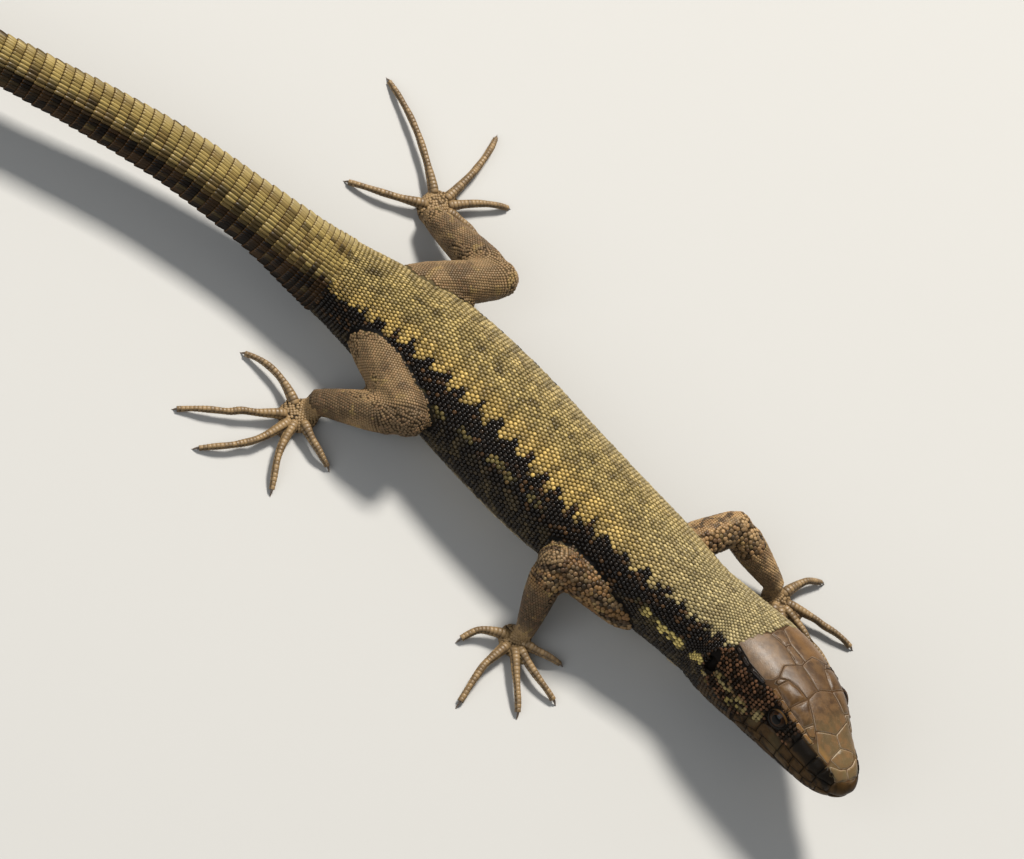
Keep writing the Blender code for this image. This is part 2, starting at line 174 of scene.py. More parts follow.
# Arcs from the crown's midline: the brow and the edge behind it, the snout's edge, the lip's
# height over the mouth, and how far the last chin shields stay from the lower midline
brow = line_through((4.3, 5.0, 6.0, 7.0, 8.0, 9.2, 10.4), (2.45, 2.74, 3.02, 3.3, 3.5, 3.64, 3.66))
rear_brow = line_through((11.0, 13.4, 15.5), (4.15, 4.58, 4.4))
canthus = line_through((0.7, 2.2, 3.5, 5.2, 6.3), (1.55, 2.05, 2.72, 3.3, 3.65))
lip_height = line_through((0.5, 2, 5.6, 6.4, 8.6, 9.4, 11.2), (1.0, 1.15, 1.3, 1.55, 1.6, 1.45, 1.2))
chin_gap = line_through((CHIN_START, CHIN_END), (0.05, 2.6))

# The size of a scale's patch on the bake's map, and the width there of one leg's strip
PATCH = 0.003
LEG_SHEET = 0.245

# The camera's tilt and turn and the main light's bearing in degrees, and the place they face
CAMERA_ELEVATION = 55.0
CAMERA_TURN = 41.84
SUN_SIDE = 108.7
LOOKED_AT = (0.0469, -0.0019, 0.005)

# What the operators share: sheets, trees and the skin, filled in by the skin's operator.
WORK = SimpleNamespace(finishes=None)


# -------- unrolling the solids


def mesh_points(mesh):
    """A mesh's vertices, as an array in metres."""
    points = np.empty(len(mesh.vertices) * 3)
    mesh.vertices.foreach_get("co", points)
    return points.reshape(-1, 3)


def node_points(node):
    return mesh_points(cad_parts[node].data)


def tree_of_nodes(nodes):
    """A tree for ray casts over several CAD nodes."""
    points, faces, start = [], [], 0
    for node in nodes:
        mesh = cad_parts[node].data
        points.extend(v.co.copy() for v in mesh.vertices)
        faces.extend([start + i for i in face.vertices] for face in mesh.polygons)
        start += len(mesh.vertices)
    return BVHTree.FromPolygons(points, faces)


def tree_of_mesh(mesh):
    points = [v.co.copy() for v in mesh.vertices]
    return BVHTree.FromPolygons(points, [list(face.vertices) for face in mesh.polygons])


def unit(vectors):
    return vectors / np.maximum(norm(vectors, axis=-1, keepdims=True), 1e-12)


def eased(value, start, end):
    """0 before start, 1 after end, and smooth between them. Start may be the larger."""
    t = np.clip((np.asarray(value, float) - start) / (end - start), 0, 1)
    return t * t * (3 - 2 * t)


def centred(tree, point, across, reach):
    """The point moved to the middle of the solid along each of the directions across it."""
    for direction in across:
        ahead = tree.ray_cast(point, direction, reach)[0]
        behind = tree.ray_cast(point, -direction, reach)[0]
        if ahead is None or behind is None:
            return None
        point = (ahead + behind) / 2
    return point


def follow(tree, start, step, reach, most=2000):
    """Middle points of a long solid from start on, until it ends."""
    side = step.cross(Vector((0, 0, 1))).normalized()
    across = (side, Vector((0, 0, 1)), side)
    found = []
    point = start
    for _ in range(most):
        point = centred(tree, point, across, reach)
        if point is None:
            break
        found.append(point)
        point = point + step
    return found


def evenly(points, spacing):
    """A polyline's points again at even distances, with the distance of each."""
    points = np.array([tuple(p) for p in points])
    steps = norm(np.diff(points, axis=0), axis=1)
    run = np.concatenate([[0], np.cumsum(steps)])
    count = max(4, int(run[-1] / spacing) + 1)
    places = np.linspace(0, run[-1], count)
    return np.stack([np.interp(places, run, points[:, k]) for k in range(3)], axis=1), places


def smoothed(rows, rounds):
    """Rows averaged with their neighbours, the two ends held."""
    for _ in range(rounds):
        rows[1:-1] = (rows[:-2] + 2 * rows[1:-1] + rows[2:]) / 4
    return rows


class Sheet:
    """A long solid's surface unrolled: distance along its middle line, and share round it.

    The share runs from 0 on the upper midline to 1 on the lower one, and is negative to the
    right. Distances along and round are in millimetres.
    """

    COLUMNS = 129
    RAYS = 96
    REACH = 20 * MM

    def __init__(self, tree, middles, rolls):
        self.middles, along = evenly(middles, 0.25 * MM)
        self.middles = smoothed(self.middles, 12)
        self.along = along / MM
        self.length = self.along[-1]
        heading = unit(np.gradient(self.middles, axis=0))
        left = unit(np.cross(heading, (0, 0, 1.0)))
        up = np.cross(left, heading)
        roll = rolls(self.middles)[:, None]
        self.heading = heading
        self.up = up * np.cos(roll) + left * np.sin(roll)
        self.left = left * np.cos(roll) - up * np.sin(roll)
        self.angles = np.linspace(-pi, pi, self.RAYS + 1)
        ways = (
            np.cos(self.angles)[None, :, None] * self.up[:, None]
            + np.sin(self.angles)[None, :, None] * self.left[:, None]
        )
        radii = [
            [tree.ray_cast(Vector(middle), Vector(way), self.REACH)[3] or np.nan for way in ring]
            for middle, ring in zip(self.middles, ways)
        ]
        radii = smoothed(self.filled(np.array(radii)), 2)
        self.unroll_rings(self.middles[:, None] + ways * radii[:, :, None])

    @staticmethod
    def filled(rows):
        """Distances with each ray that met nothing taken from the rings beside it."""
        for column in rows.T:
            bad = np.isnan(column)
            if bad.any() and not bad.all():
                places = np.arange(len(column))
                column[bad] = np.interp(places[bad], places[~bad], column[~bad])
        return np.nan_to_num(rows, nan=1e-5)

    def unroll_rings(self, shell):
        """Fills the grid of points at even shares round each ring."""
        steps = norm(np.diff(shell, axis=1), axis=2)
        run = np.concatenate([np.zeros((len(shell), 1)), np.cumsum(steps, axis=1)], axis=1)
        top = len(self.angles) // 2
        run -= run[:, top : top + 1]
        self.right_girth, self.left_girth = -run[:, 0] / MM, run[:, -1] / MM
        half = np.where(run < 0, -run[:, :1], run[:, -1:])
        self.shares = run / half
        wanted = np.linspace(-1, 1, self.COLUMNS)
        grid = np.empty((len(shell), self.COLUMNS, 3))
        for row, (share, ring) in enumerate(zip(self.shares, shell)):
            for k in range(3):
                grid[row, :, k] = np.interp(wanted, share, ring[:, k])
        self.grid = grid
        normal = unit(np.cross(np.gradient(grid, axis=0), np.gradient(grid, axis=1)))
        outward = grid - self.middles[:, None]
        self.normal = normal * np.sign((normal * outward).sum(axis=2, keepdims=True))

    def look_up(self, table, along, share):
        """A table's values between its rows and columns."""
        row = np.clip(np.asarray(along) / self.along[1], 0, len(self.along) - 1.001)
        column = np.clip((np.asarray(share) + 1) / 2 * (self.COLUMNS - 1), 0, self.COLUMNS - 1.001)
        i, j = row.astype(int), column.astype(int)
        u, v = (row - i)[..., None], (column - j)[..., None]
        low = table[i, j] * (1 - v) + table[i, j + 1] * v
        high = table[i + 1, j] * (1 - v) + table[i + 1, j + 1] * v
        return low * (1 - u) + high * u

    def point(self, along, share):
        return self.look_up(self.grid, along, share)

    def outward(self, along, share):
        return unit(self.look_up(self.normal, along, share))

    def girth(self, along, share=1):
        """Half the way round, in millimetres, on the share's side."""
        right = np.interp(along, self.along, self.right_girth)
        left = np.interp(along, self.along, self.left_girth)
        return np.where(np.asarray(share) < 0, right, left)

    def place(self, points):
        """Where points lie on the sheet: distance along it and share round it."""
        points = np.asarray(points)
        nearest = np.empty(len(points), int)
        for start in range(0, len(points), 4000):
            part = points[start : start + 4000]
            gaps = ((part[:, None] - self.middles[None, ::4]) ** 2).sum(axis=2)
            nearest[start : start + 4000] = gaps.argmin(axis=1) * 4
        run = ((points - self.middles[nearest]) * self.heading[nearest]).sum(axis=1)
        along = np.clip(self.along[nearest] + run / MM, 0, self.length)
        row = np.clip((along / self.along[1]).round().astype(int), 0, len(self.along) - 1)
        offset = points - self.middles[row]
        angle = np.arctan2((offset * self.left[row]).sum(axis=1), (offset * self.up[row]).sum(axis=1))
        spot = (angle + pi) / (2 * pi) * (len(self.angles) - 1)
        j = np.clip(spot.astype(int), 0, len(self.angles) - 2)
        part = spot - j
        return along, self.shares[row, j] * (1 - part) + self.shares[row, j + 1] * part


def body_roll(middles):
    """How far the back leans to the animal's left, by the distance in front of the vent."""
    ahead = (middles[:, 0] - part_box("trunk")[0].x) / MM
    places, degrees = zip(*LEANS)
    return np.radians(np.interp(ahead, places, degrees))


def head_roll(middles):
    return np.full(len(middles), radians(HEAD_LEAN))


def placed(name, data):
    """A new object in the scene."""
    made = bpy.data.objects.new(name, data)
    bpy.context.scene.collection.objects.link(made)
    return made


def closed_over(nodes, name, voxel, swell, inset, rounds):
    """One closed mesh over the nodes: swollen shut, remeshed, smoothed and drawn back in."""
    mesh = bmesh.new()
    for node in nodes:
        mesh.from_mesh(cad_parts[node].data)
    bmesh.ops.remove_doubles(mesh, verts=mesh.verts, dist=1e-6)
    data = bpy.data.meshes.new(name)
    mesh.to_mesh(data)
    mesh.free()
    made = placed(name, data)
    for kind, settings in (
        ("DISPLACE", {"strength": swell, "mid_level": 0.0}),
        ("REMESH", {"mode": "VOXEL", "voxel_size": voxel}),
        ("SMOOTH", {"factor": 0.5, "iterations": rounds}),
        ("DISPLACE", {"strength": -(swell + inset), "mid_level": 0.0}),
    ):
        modifier = made.modifiers.new(kind.title(), kind)
        for key, value in settings.items():
            setattr(modifier, key, value)
    graph = bpy.context.evaluated_depsgraph_get()
    made.data = bpy.data.meshes.new_from_object(made.evaluated_get(graph))
    made.modifiers.clear()
    bpy.data.meshes.remove(data)
    return made


def body_sheet(tree):
    """The body unrolled from the snout to the tip of the tail."""
    low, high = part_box("trunk")
    middle = (low + high) / 2
    step = Vector((0.4 * MM, 0, 0))
    forward = follow(tree, middle, step, 20 * MM)
    rearward = follow(tree, middle, -step, 20 * MM)
    return Sheet(tree, forward[::-1] + rearward[1:], body_roll)


def head_turn():
    """The head's own directions as the columns of a matrix: ahead, left and up."""
    heading = Matrix.Rotation(radians(HEAD_HEADING), 3, "Z")
    pitch = Matrix.Rotation(-radians(HEAD_PITCH), 3, "Y")
    return heading @ pitch @ Matrix.Rotation(-radians(HEAD_LEAN), 3, "X")


def head_sheet(tree):
    """The head unrolled about its own straight axis, which runs back from the snout's tip."""
    eyes = [Vector(node_points(node).mean(axis=0)) for node in EYE_NODES]
    ahead, _, up = head_turn().transposed()
    tip = (eyes[0] + eyes[1]) / 2 + ahead * (EYE_BEHIND_SNOUT * MM) - up * (EYE_ABOVE_SNOUT * MM)
    axis = [tip - ahead * (behind * MM) for behind in np.arange(0.4, 19.0, 0.25)]
    return Sheet(tree, axis, head_roll)


# -------- laying scales


def quads(rows, columns, closed=True):
    """Faces between rows of points, which are rings or, if not closed, strips."""
    faces = []
    for row in range(rows - 1):
        for k in range(columns if closed else columns - 1):
            a, b = row * columns + k, row * columns + (k + 1) % columns
            faces.append((a, b, b + columns, a + columns))
    return faces


def dome_faces(rows, sides):
    """Faces of rings that close in a fan round one last point."""
    last, apex = (rows - 1) * sides, rows * sides
    fan = [(last + k, last + (k + 1) % sides, apex) for k in range(sides)]
    return quads(rows, sides) + fan


def tile(sides, power, levels, keel=0.0, tilt=0.0):
    """One scale a unit long and wide: rings from its buried rim up to its middle.

    A level is its share of the outline, its height and its rise, the 0 to 1 from rim to crown
    that the finishes read. Power 2 gives an oval outline and more gives a rounded rectangle.
    """
    points, rises = [], []
    for share, height, rise in levels[:-1]:
        for k in range(sides):
            angle = 2 * pi * k / sides
            along, across = cos(angle), sin(angle)
            along = copysign(abs(along) ** (2 / power), along) * share / 2
            across = copysign(abs(across) ** (2 / power), across) * share / 2
            ridge = keel * max(0.0, 1 - abs(across) / 0.16) if height > 0 else 0.0
            points.append((along, across, height + ridge + (tilt * along if height > 0 else 0.0)))
            rises.append(rise)
    points.append((0.0, 0.0, levels[-1][1] + keel))
    rises.append(levels[-1][2])
    return np.array(points), np.array(rises), dome_faces(len(levels) - 1, sides)


GRANULE = tile(8, 2.0, ((1.0, -0.4, 0.0), (0.96, 0.45, 0.35), (0.6, 0.92, 0.85), (0, 1.0, 1.0)))
BEAD = tile(6, 2.0, ((1.0, -0.4, 0.0), (0.86, 0.6, 0.5), (0, 1.0, 1.0)))
PLATE_LEVELS = ((1.0, -0.8, 0.0), (0.98, 0.4, 0.2), (0.9, 0.9, 0.7), (0.5, 1.0, 1.0), (0, 1.0, 1.0))
TAIL_LEVELS = ((1.0, -0.9, 0.0), (0.97, 0.3, 0.2), (0.84, 0.62, 0.6), (0.4, 0.72, 0.9), (0, 0.74, 1.0))
PLATE = tile(16, 5.0, PLATE_LEVELS, tilt=0.5)


def rear_edged(template):
    """The same scale with a rise that stays high but at its rear edge."""
    points, rises, faces = template
    kept_high = (points[:, 0] < 0.3) & (rises > 0.1)
    return points, np.where(kept_high, np.maximum(rises, 0.7), rises), faces


TAIL_PLATE = rear_edged(tile(12, 5.0, TAIL_LEVELS, keel=0.4, tilt=0.75))


class Coat:
    """Scales gathered into one mesh, with the values that the finishes read."""

    def __init__(self, name, finish):
        self.name, self.finish, self.parts = name, finish, []
        self.count, self.loop_count = 0, 0

    def add(self, points, faces, rise, lie, mark, patch):
        """Adds N scales of V points each. Lie and mark are vectors for each scale or point."""
        number, size = points.shape[:2]
        whole = (number, size, 3)
        lie, mark = (value[:, None] if value.ndim == 2 else value for value in (lie, mark))
        flat = np.concatenate([np.array(face) for face in faces])
        starts = np.cumsum([0, *(len(face) for face in faces[:-1])])
        scales = np.arange(number)[:, None]
        self.parts.append((
            points.reshape(-1, 3),
            np.broadcast_to(rise, whole[:2]).reshape(-1),
            np.broadcast_to(lie, whole).reshape(-1, 3),
            np.broadcast_to(mark, whole).reshape(-1, 3),
            patch.reshape(-1, 2),
            (flat + self.count + scales * size).reshape(-1),
            (starts + self.loop_count + scales * len(flat)).reshape(-1),
        ))
        self.count += number * size
        self.loop_count += number * len(flat)

    def build(self):
        parts = (np.concatenate(arrays) for arrays in zip(*self.parts))
        points, rises, lies, marks_of, patches, loops, starts = parts
        points[:, 2] = np.maximum(points[:, 2], 0.0)
        mesh = bpy.data.meshes.new(self.name)
        mesh.vertices.add(len(points))
        mesh.vertices.foreach_set("co", points.astype(np.float32).reshape(-1))
        mesh.loops.add(len(loops))
        mesh.loops.foreach_set("vertex_index", loops.astype(np.int32))
        mesh.polygons.add(len(starts))
        mesh.polygons.foreach_set("loop_start", starts.astype(np.int32))
        mesh.update(calc_edges=True)
        mesh.validate()
        set_values(mesh, "rise", rises)
        set_values(mesh, "lie", lies)
        set_values(mesh, "mark", marks_of)
        layer = mesh.uv_layers.new(name="OFBake")
        layer.data.foreach_set("uv", patches[loops].astype(np.float32).reshape(-1))
        mesh.shade_smooth()
        return dress(placed(self.name, mesh), self.finish)


def set_values(mesh, name, values, domain="POINT"):
    """Gives each point or face of a mesh a number or a vector under a name."""
    kind, key = ("FLOAT", "value") if values.ndim == 1 else ("FLOAT_VECTOR", "vector")
    layer = mesh.attributes.new(name, kind, domain)
    layer.data.foreach_set(key, values.astype(np.float32).reshape(-1))


def dress(piece, finish):
    """Gives a piece its finish and its slot, and lets it ride with the animal."""
    piece.data.materials.clear()
    piece.data.materials.append(finishes()[finish])
    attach(piece, "root")
    return piece


def patch_place(along, share):
    """Where a root lies on the unrolled skin, as a share of the bake's width and height."""
    across = np.interp(along, (0, 16, 66, 187), (0.01, 0.17, 0.60, 0.99))
    return np.stack([across, 0.02 + 0.15 * (np.asarray(share) + 1)], axis=-1)


def lie_of(sheet, along, share):
    """What the markings read at a place: how far along, and the arc and share round it."""
    return np.stack([along, share * sheet.girth(along, share), share], axis=-1)


def wrapped(share):
    """A share past the lower midline, taken on round to the other side."""
    return (share + 1) % 2 - 1


def lay(coat, sheet, template, along, share, size, mark):
    """Lays one scale for each along and share, wrapped onto the sheet.

    Size is the length, width and height of each scale in millimetres. Mark is a vector for
    each scale that the finishes read.
    """
    along, share = np.asarray(along, float), np.asarray(share, float)
    length, width, height = (np.broadcast_to(v, along.shape) for v in size)
    points, rise, faces = template
    girth = sheet.girth(along, share)
    rows = along[:, None] + points[None, :, 0] * length[:, None]
    columns = wrapped(share[:, None] + points[None, :, 1] * (width / girth)[:, None])
    lift = points[None, :, 2] * height[:, None]
    made = sheet.point(rows, columns) + sheet.outward(rows, columns) * lift[..., None] * MM
    mark = np.broadcast_to(mark, (len(along), 3))
    patch = patch_place(along, share)[:, None] + points[None, :, :2] * PATCH
    coat.add(made, faces, rise, lie_of(sheet, along, share), mark, patch)


def stand(coat, template, roots, outward, rearward, size, lie, mark, place):
    """Stands one scale on each root, flat to the skin there."""
    points, rise, faces = template
    length, width, height = (np.broadcast_to(v, len(roots))[:, None, None] * MM for v in size)
    sideways = unit(np.cross(outward, rearward))
    back = np.cross(sideways, outward)
    made = (
        roots[:, None]
        + back[:, None] * points[None, :, :1] * length
        + sideways[:, None] * points[None, :, 1:2] * width
        + outward[:, None] * points[None, :, 2:] * height
    )
    patch = place[:, None] + points[None, :, :2] * PATCH
    coat.add(made, faces, rise, lie, mark, patch)


def plant(coat, sheet, template, along, share, size, mark):
    """Stands scales on the skin itself, at places given on a sheet."""
    roots, outward, _ = nearest_on(WORK.skin_tree, sheet.point(along, share))
    rearward = unit(sheet.point(along + 0.3, share) - sheet.point(along, share))
    lie = lie_of(sheet, along, share)
    stand(coat, template, roots, outward, rearward, size, lie, mark, patch_place(along, share))


def inlay(coat, sheet, outline, height, mark, dome, centre_arc):
    """One shield in an outline of (along, arc) corners on the sheet, with a rounded rim."""
    corners = np.array(outline, float)
    corners[:, 1] += centre_arc
    edge = []
    for start, end in zip(corners, np.roll(corners, -1, axis=0)):
        count = max(1, int(norm(end - start) / SHIELD_STEP))
        edge.extend(start + (end - start) * k / count for k in range(count))
    edge = np.array(edge)
    edge = (np.roll(edge, 1, axis=0) + 8 * edge + np.roll(edge, -1, axis=0)) / 10
    middle = edge.mean(axis=0)
    reach = norm(edge - middle, axis=1, keepdims=True)
    sides = len(edge)
    rings, rises = [], []
    rim = (
        (SHIELD_GAP, -0.12, 0.0),
        (SHIELD_GAP + 0.02, height * 0.3, 0.05),
        (SHIELD_GAP + 0.07, height * 0.9, 0.35),
        (SHIELD_GAP + 0.14, height, 0.8),
    )
    rows = [(1 - inset / reach, lift, rise) for inset, lift, rise in rim]
    for share in (0.8, 0.55, 0.28):
        rows.append((np.full_like(reach, share), height + dome * (1 - share * share), 1.0))
    for share, lift, rise in rows:
        rings.append(np.concatenate([middle + (edge - middle) * share, np.full((sides, 1), lift)], axis=1))
        rises.extend([rise] * sides)
    points = np.concatenate([*rings, [(*middle, height + dome)]])
    rises.append(1.0)
    along, arc, lift = points.T
    share = arc / sheet.girth(along, arc)
    share = np.where(share > 1, share - 2, np.where(share < -1, share + 2, share))
    made = sheet.point(along, share) + sheet.outward(along, share) * (lift * MM)[:, None]
    faces = dome_faces(len(rows), sides)
    area = np.sum(edge[:, 0] * np.roll(edge[:, 1], -1) - np.roll(edge[:, 0], -1) * edge[:, 1])
    if area > 0:
        faces = [face[::-1] for face in faces]
    root = patch_place(middle[0], share[-1])
    spread = (points[:, :2] - middle) / (2 * reach.max())
    lie = np.stack([along, arc, share], axis=-1)
    mark = np.broadcast_to(np.array(mark, float), (1, len(points), 3))
    coat.add(made[None], faces, np.array(rises), lie[None], mark, (root + spread * PATCH)[None])


# -------- the skin


def toe_lines():
    """For each toe, its middle line from the foot to the tip of the claw."""
    lines = {}
    for node in TOE_NODES:
        points = node_points(node)
        foot = node_points(f"{node.split('_toe')[0]}_foot").mean(axis=0)
        tip = points[norm(points - foot, axis=1).argmax()]
        start = points[norm(points - foot, axis=1).argmin()]
        chord = unit(tip - start)
        run = (points - start) @ chord
        edges = np.linspace(run.min() - 1e-6, run.max() + 1e-6, 8)
        middles = [
            points[(run >= low) & (run <= high)].mean(axis=0)
            for low, high in zip(edges, edges[1:])
            if ((run >= low) & (run <= high)).any()
        ]
        middles[-1] = middles[-2] + (tip - middles[-2]) * 0.98
        lines[node] = evenly(middles, 0.3 * MM)[0]
    return lines


def build_skin(depth, voxel):
    """One skin over all the flesh, drawn in by the depth of the scales, toes cut to the claws."""
    skin = closed_over((*FLESH_NODES, *EYE_NODES), "skin", voxel * MM, 0.2 * MM, depth * MM, 5)
    mesh = skin.data
    points = mesh_points(mesh)
    for line in WORK.toes.values():
        tip, ahead = line[-1], unit(line[-1] - line[-4])
        near = norm(points - tip, axis=1) < 2.2 * MM
        run = (points - tip) @ ahead
        past = near & (run > -CLAW_LENGTH * 1.15 * MM)
        short = run[past] + CLAW_LENGTH * 1.15 * MM
        off_line = points[past] - tip - run[past, None] * ahead
        points[past] -= ahead * (short * 0.85)[:, None] + off_line * 0.6
    points[:, 2] = np.maximum(points[:, 2], 0.02 * MM)
    mesh.vertices.foreach_set("co", points.reshape(-1))
    mesh.update()
    return skin


def eye_sockets(skin):
    """Opens the skin over each eye, in an almond a little wider than the lids' opening."""
    mesh = bmesh.new()
    mesh.from_mesh(skin.data)
    gone = []
    for eye in WORK.eyes.values():
        for vert in mesh.verts:
            offset = np.array(vert.co) - eye.centre
            distance = norm(offset)
            if distance < 2.0 * MM and (offset / distance) @ eye.out > 0.80:
                gone.append(vert)
    bmesh.ops.delete(mesh, geom=gone, context="VERTS")
    mesh.to_mesh(skin.data)
    mesh.free()


def eyes_found():
    """Each eyeball's centre, and the directions that it looks in, ahead and up."""
    turn = head_turn()
    found = {}
    for side, sign in SIDES:
        centre = node_points(f"eye_{side}").mean(axis=0)
        out = unit(np.array(turn @ Vector((0.22, sign * 0.93, 0.20))))
        up = np.array(turn @ Vector((0, 0, 1)))
        up = unit(up - out * (up @ out))
        ahead = np.cross(up, out) * -sign
        found[side] = SimpleNamespace(centre=centre, out=out, up=up, ahead=ahead)
    return found


def nearest_on(tree, points):
    """The nearest place on a tree to each point, its normal, and how far outside the point is."""
    places, normals, depths = [], [], []
    for point in points:
        place, normal, _, _ = tree.find_nearest(Vector(point))
        places.append(place)
        normals.append(normal)
        depths.append((Vector(point) - place).dot(normal))
    return np.array(places), np.array(normals), np.array(depths)


def limb_axes():
    """Each leg's middle line in millimetres along it, from the body to the foot."""
    axes = {}
    for leg in LEGS:
        upper, lower = node_points(f"{leg}_upper"), node_points(f"{leg}_lower")
        ankle = node_points(f"{leg}_foot").mean(axis=0)
        # The bend is where the two lengths come nearest to each other.
        gaps = norm(upper[:, None] - lower[None], axis=2)
        close = gaps < 1.2 * MM
        bend = (upper[close.any(axis=1)].mean(axis=0) + lower[close.any(axis=0)].mean(axis=0)) / 2
        root = 2 * upper.mean(axis=0) - bend
        axes[leg] = np.array([root, bend, ankle])
    return axes


def leg_place(points):
    """For points near a leg: which leg, how far along it, and the angle round it."""
    best = np.full(len(points), 1e9)
    which = np.zeros(len(points), int)
    along, angle = np.zeros(len(points)), np.zeros(len(points))
    for number, leg in enumerate(LEGS):
        axis = WORK.axes[leg]
        done = 0.0
        for start, end in zip(axis, axis[1:]):
            way = end - start
            length = norm(way)
            share = np.clip(((points - start) @ way) / length**2, 0, 1)
            offset = points - (start + share[:, None] * way)
            gap = norm(offset, axis=1)
            left = unit(np.cross(way, (0, 0, 1.0)))
            up = np.cross(left, way / length)
            nearer = gap < best
            best = np.where(nearer, gap, best)
            which = np.where(nearer, number, which)
            along = np.where(nearer, done + share * length / MM, along)
            angle = np.where(nearer, np.arctan2(offset @ left, offset @ up), angle)
            done += length / MM
    return which, along, angle


def mark_skin(skin):
    """Writes on the skin where it lies along the animal, for the markings."""
    mesh = skin.data
    points = mesh_points(mesh)
    body, head = WORK.body, WORK.head
    along, share = body.place(points)
    lie = lie_of(body, along, share)
    head_along, head_share = head.place(points)
    on_head = (head_along < HEAD_END + 0.5) & (along < 19)
    lie[on_head] = lie_of(head, head_along, head_share)[on_head]
    zone = np.where(on_head, ZONE["temple"], ZONE["back"]).astype(float)
    off_body = points - body.point(along, share)
    outside = (off_body * body.outward(along, share)).sum(axis=1) / MM
    leg = (outside > 0.3) & ~on_head
    zone[leg] = ZONE["leg"]
    which, leg_along, angle = leg_place(points[leg])
    lie[leg] = np.stack([leg_along, angle * 2, which], axis=1)
    crown_edge = np.minimum(4.2, np.interp(lie[:, 0], *np.transpose(CROWN_EDGE)))
    zone[on_head & (np.abs(lie[:, 1] - MIDLINE_ARC) < crown_edge)] = ZONE["shield"]
    lip_top = np.interp(lie[:, 0], *np.transpose(MOUTH_LINE)) - 1.4
    zone[on_head & (lie[:, 0] < MOUTH_END) & (np.abs(lie[:, 1]) > lip_top)] = ZONE["lip"]
    zone[~on_head & ~leg & (np.abs(share) > FLANK_SHARE)] = ZONE["belly"]
    set_values(mesh, "lie", lie)
    set_values(mesh, "rise", np.zeros(len(points)))
    first = np.empty(len(mesh.polygons), np.int32)
    mesh.polygons.foreach_get("loop_start", first)
    corners = np.empty(len(mesh.loops), np.int32)
    mesh.loops.foreach_get("vertex_index", corners)
    zone_of_face = zone[corners[first]]
    flat = np.stack([zone_of_face, np.full(len(first), -0.2), np.zeros(len(first))], axis=1)
    set_values(mesh, "mark", flat, "FACE")
    return points, leg


def marks(zone, count, second=0.0, third=0.0):
    return np.stack([np.full(count, ZONE[zone]), np.zeros(count) + second, np.zeros(count) + third], axis=1)


def prepare_skin(depth, voxel):
    WORK.toes = toe_lines()
    WORK.axes = limb_axes()
    WORK.eyes = eyes_found()
    bare = closed_over((*BODY_NODES, *EYE_NODES), "bare", voxel * MM, 0.2 * MM, depth * MM, 5)
    tree = tree_of_mesh(bare.data)
    WORK.body = body_sheet(tree)
    WORK.head = head_sheet(tree)
    WORK.ears = ears_found()
    bpy.data.meshes.remove(bare.data)
    skin = build_skin(depth, voxel)
    WORK.skin_tree = tree_of_mesh(skin.data)
    WORK.skin_points, WORK.leg_points = mark_skin(skin)
    eye_sockets(skin)
    skin.data.shade_smooth()
    dress(skin, "skin")
    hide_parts(*FLESH_NODES)
    return skin


# -------- the body's scales


def jittered(rng, count, amount):
    return 1 + (rng.random(count) - 0.5) * 2 * amount


def kept(sheet, along, share):
    """Which roots lie on the finished skin or just under it, and not inside a leg."""
    points = sheet.point(along, share)
    _, _, depths = nearest_on(WORK.skin_tree, points)
    return depths > -ROOT_DEPTH * MM


def off_head(along, share):
    """Which of the body's roots lie behind the head's own scales."""
    points = WORK.body.point(along, share)
    head_along, _ = WORK.head.place(points)
    return (head_along > HEAD_END - 0.02) & clear_of_ears(points)


def ears_found():
    """The middle of each ear opening on the skin, the way it faces, and its two long ways."""
    head = WORK.head
    found = {}
    for side, sign, arc in (("right", -1, 7.9), ("left", 1, 6.2)):
        share = sign * arc / float(head.girth(EAR_ALONG, sign))
        around = [(EAR_ALONG + s, share + w) for s in (-1.2, 1.2) for w in (-0.07, 0.07)]
        places = head.point(*np.array(around).T)
        out = unit(head.outward(*np.array(around).T).mean(axis=0))
        up = unit(np.array((0, 0, 1.0)) - out * out[2])
        tall = unit(up + 0.3 * np.cross(up, out) * sign)
        across = np.cross(tall, out)
        centre = places.mean(axis=0)
        found[side] = SimpleNamespace(centre=centre, out=out, tall=tall, across=across)
    return found


def clear_of_ears(points):
    """Which points lie outside the ear openings' ovals."""
    good = np.ones(len(points), bool)
    for ear in WORK.ears.values():
        offset = points - ear.centre
        tall = offset @ ear.tall / (EAR_HIGH * MM)
        long = offset @ ear.across / (EAR_LONG * MM)
        good &= (np.hypot(tall, long) > 1) | (np.abs(offset @ ear.out) > 2 * MM)
    return good


def ear_rims():
    """A row of beads round each ear opening."""
    coat = Coat("ear_rims", "face_scales")
    turns = np.linspace(0, 2 * pi, 26, endpoint=False)[:, None]
    for ear in WORK.ears.values():
        tall = np.cos(turns) * ear.tall * EAR_HIGH * 1.1
        ring = ear.centre + (tall + np.sin(turns) * ear.across * EAR_LONG * 1.16) * MM
        places, normals, _ = nearest_on(WORK.skin_tree, ring)
        along, share = WORK.head.place(places)
        mark = marks("temple", len(ring), np.random.default_rng(21).random(len(ring)))
        rearward = np.broadcast_to(ear.across, places.shape)
        lie, patch = lie_of(WORK.head, along, share), patch_place(along, share)
        stand(coat, GRANULE, places, normals, rearward, (0.3, 0.3, 0.16), lie, mark, patch)
    coat.build()


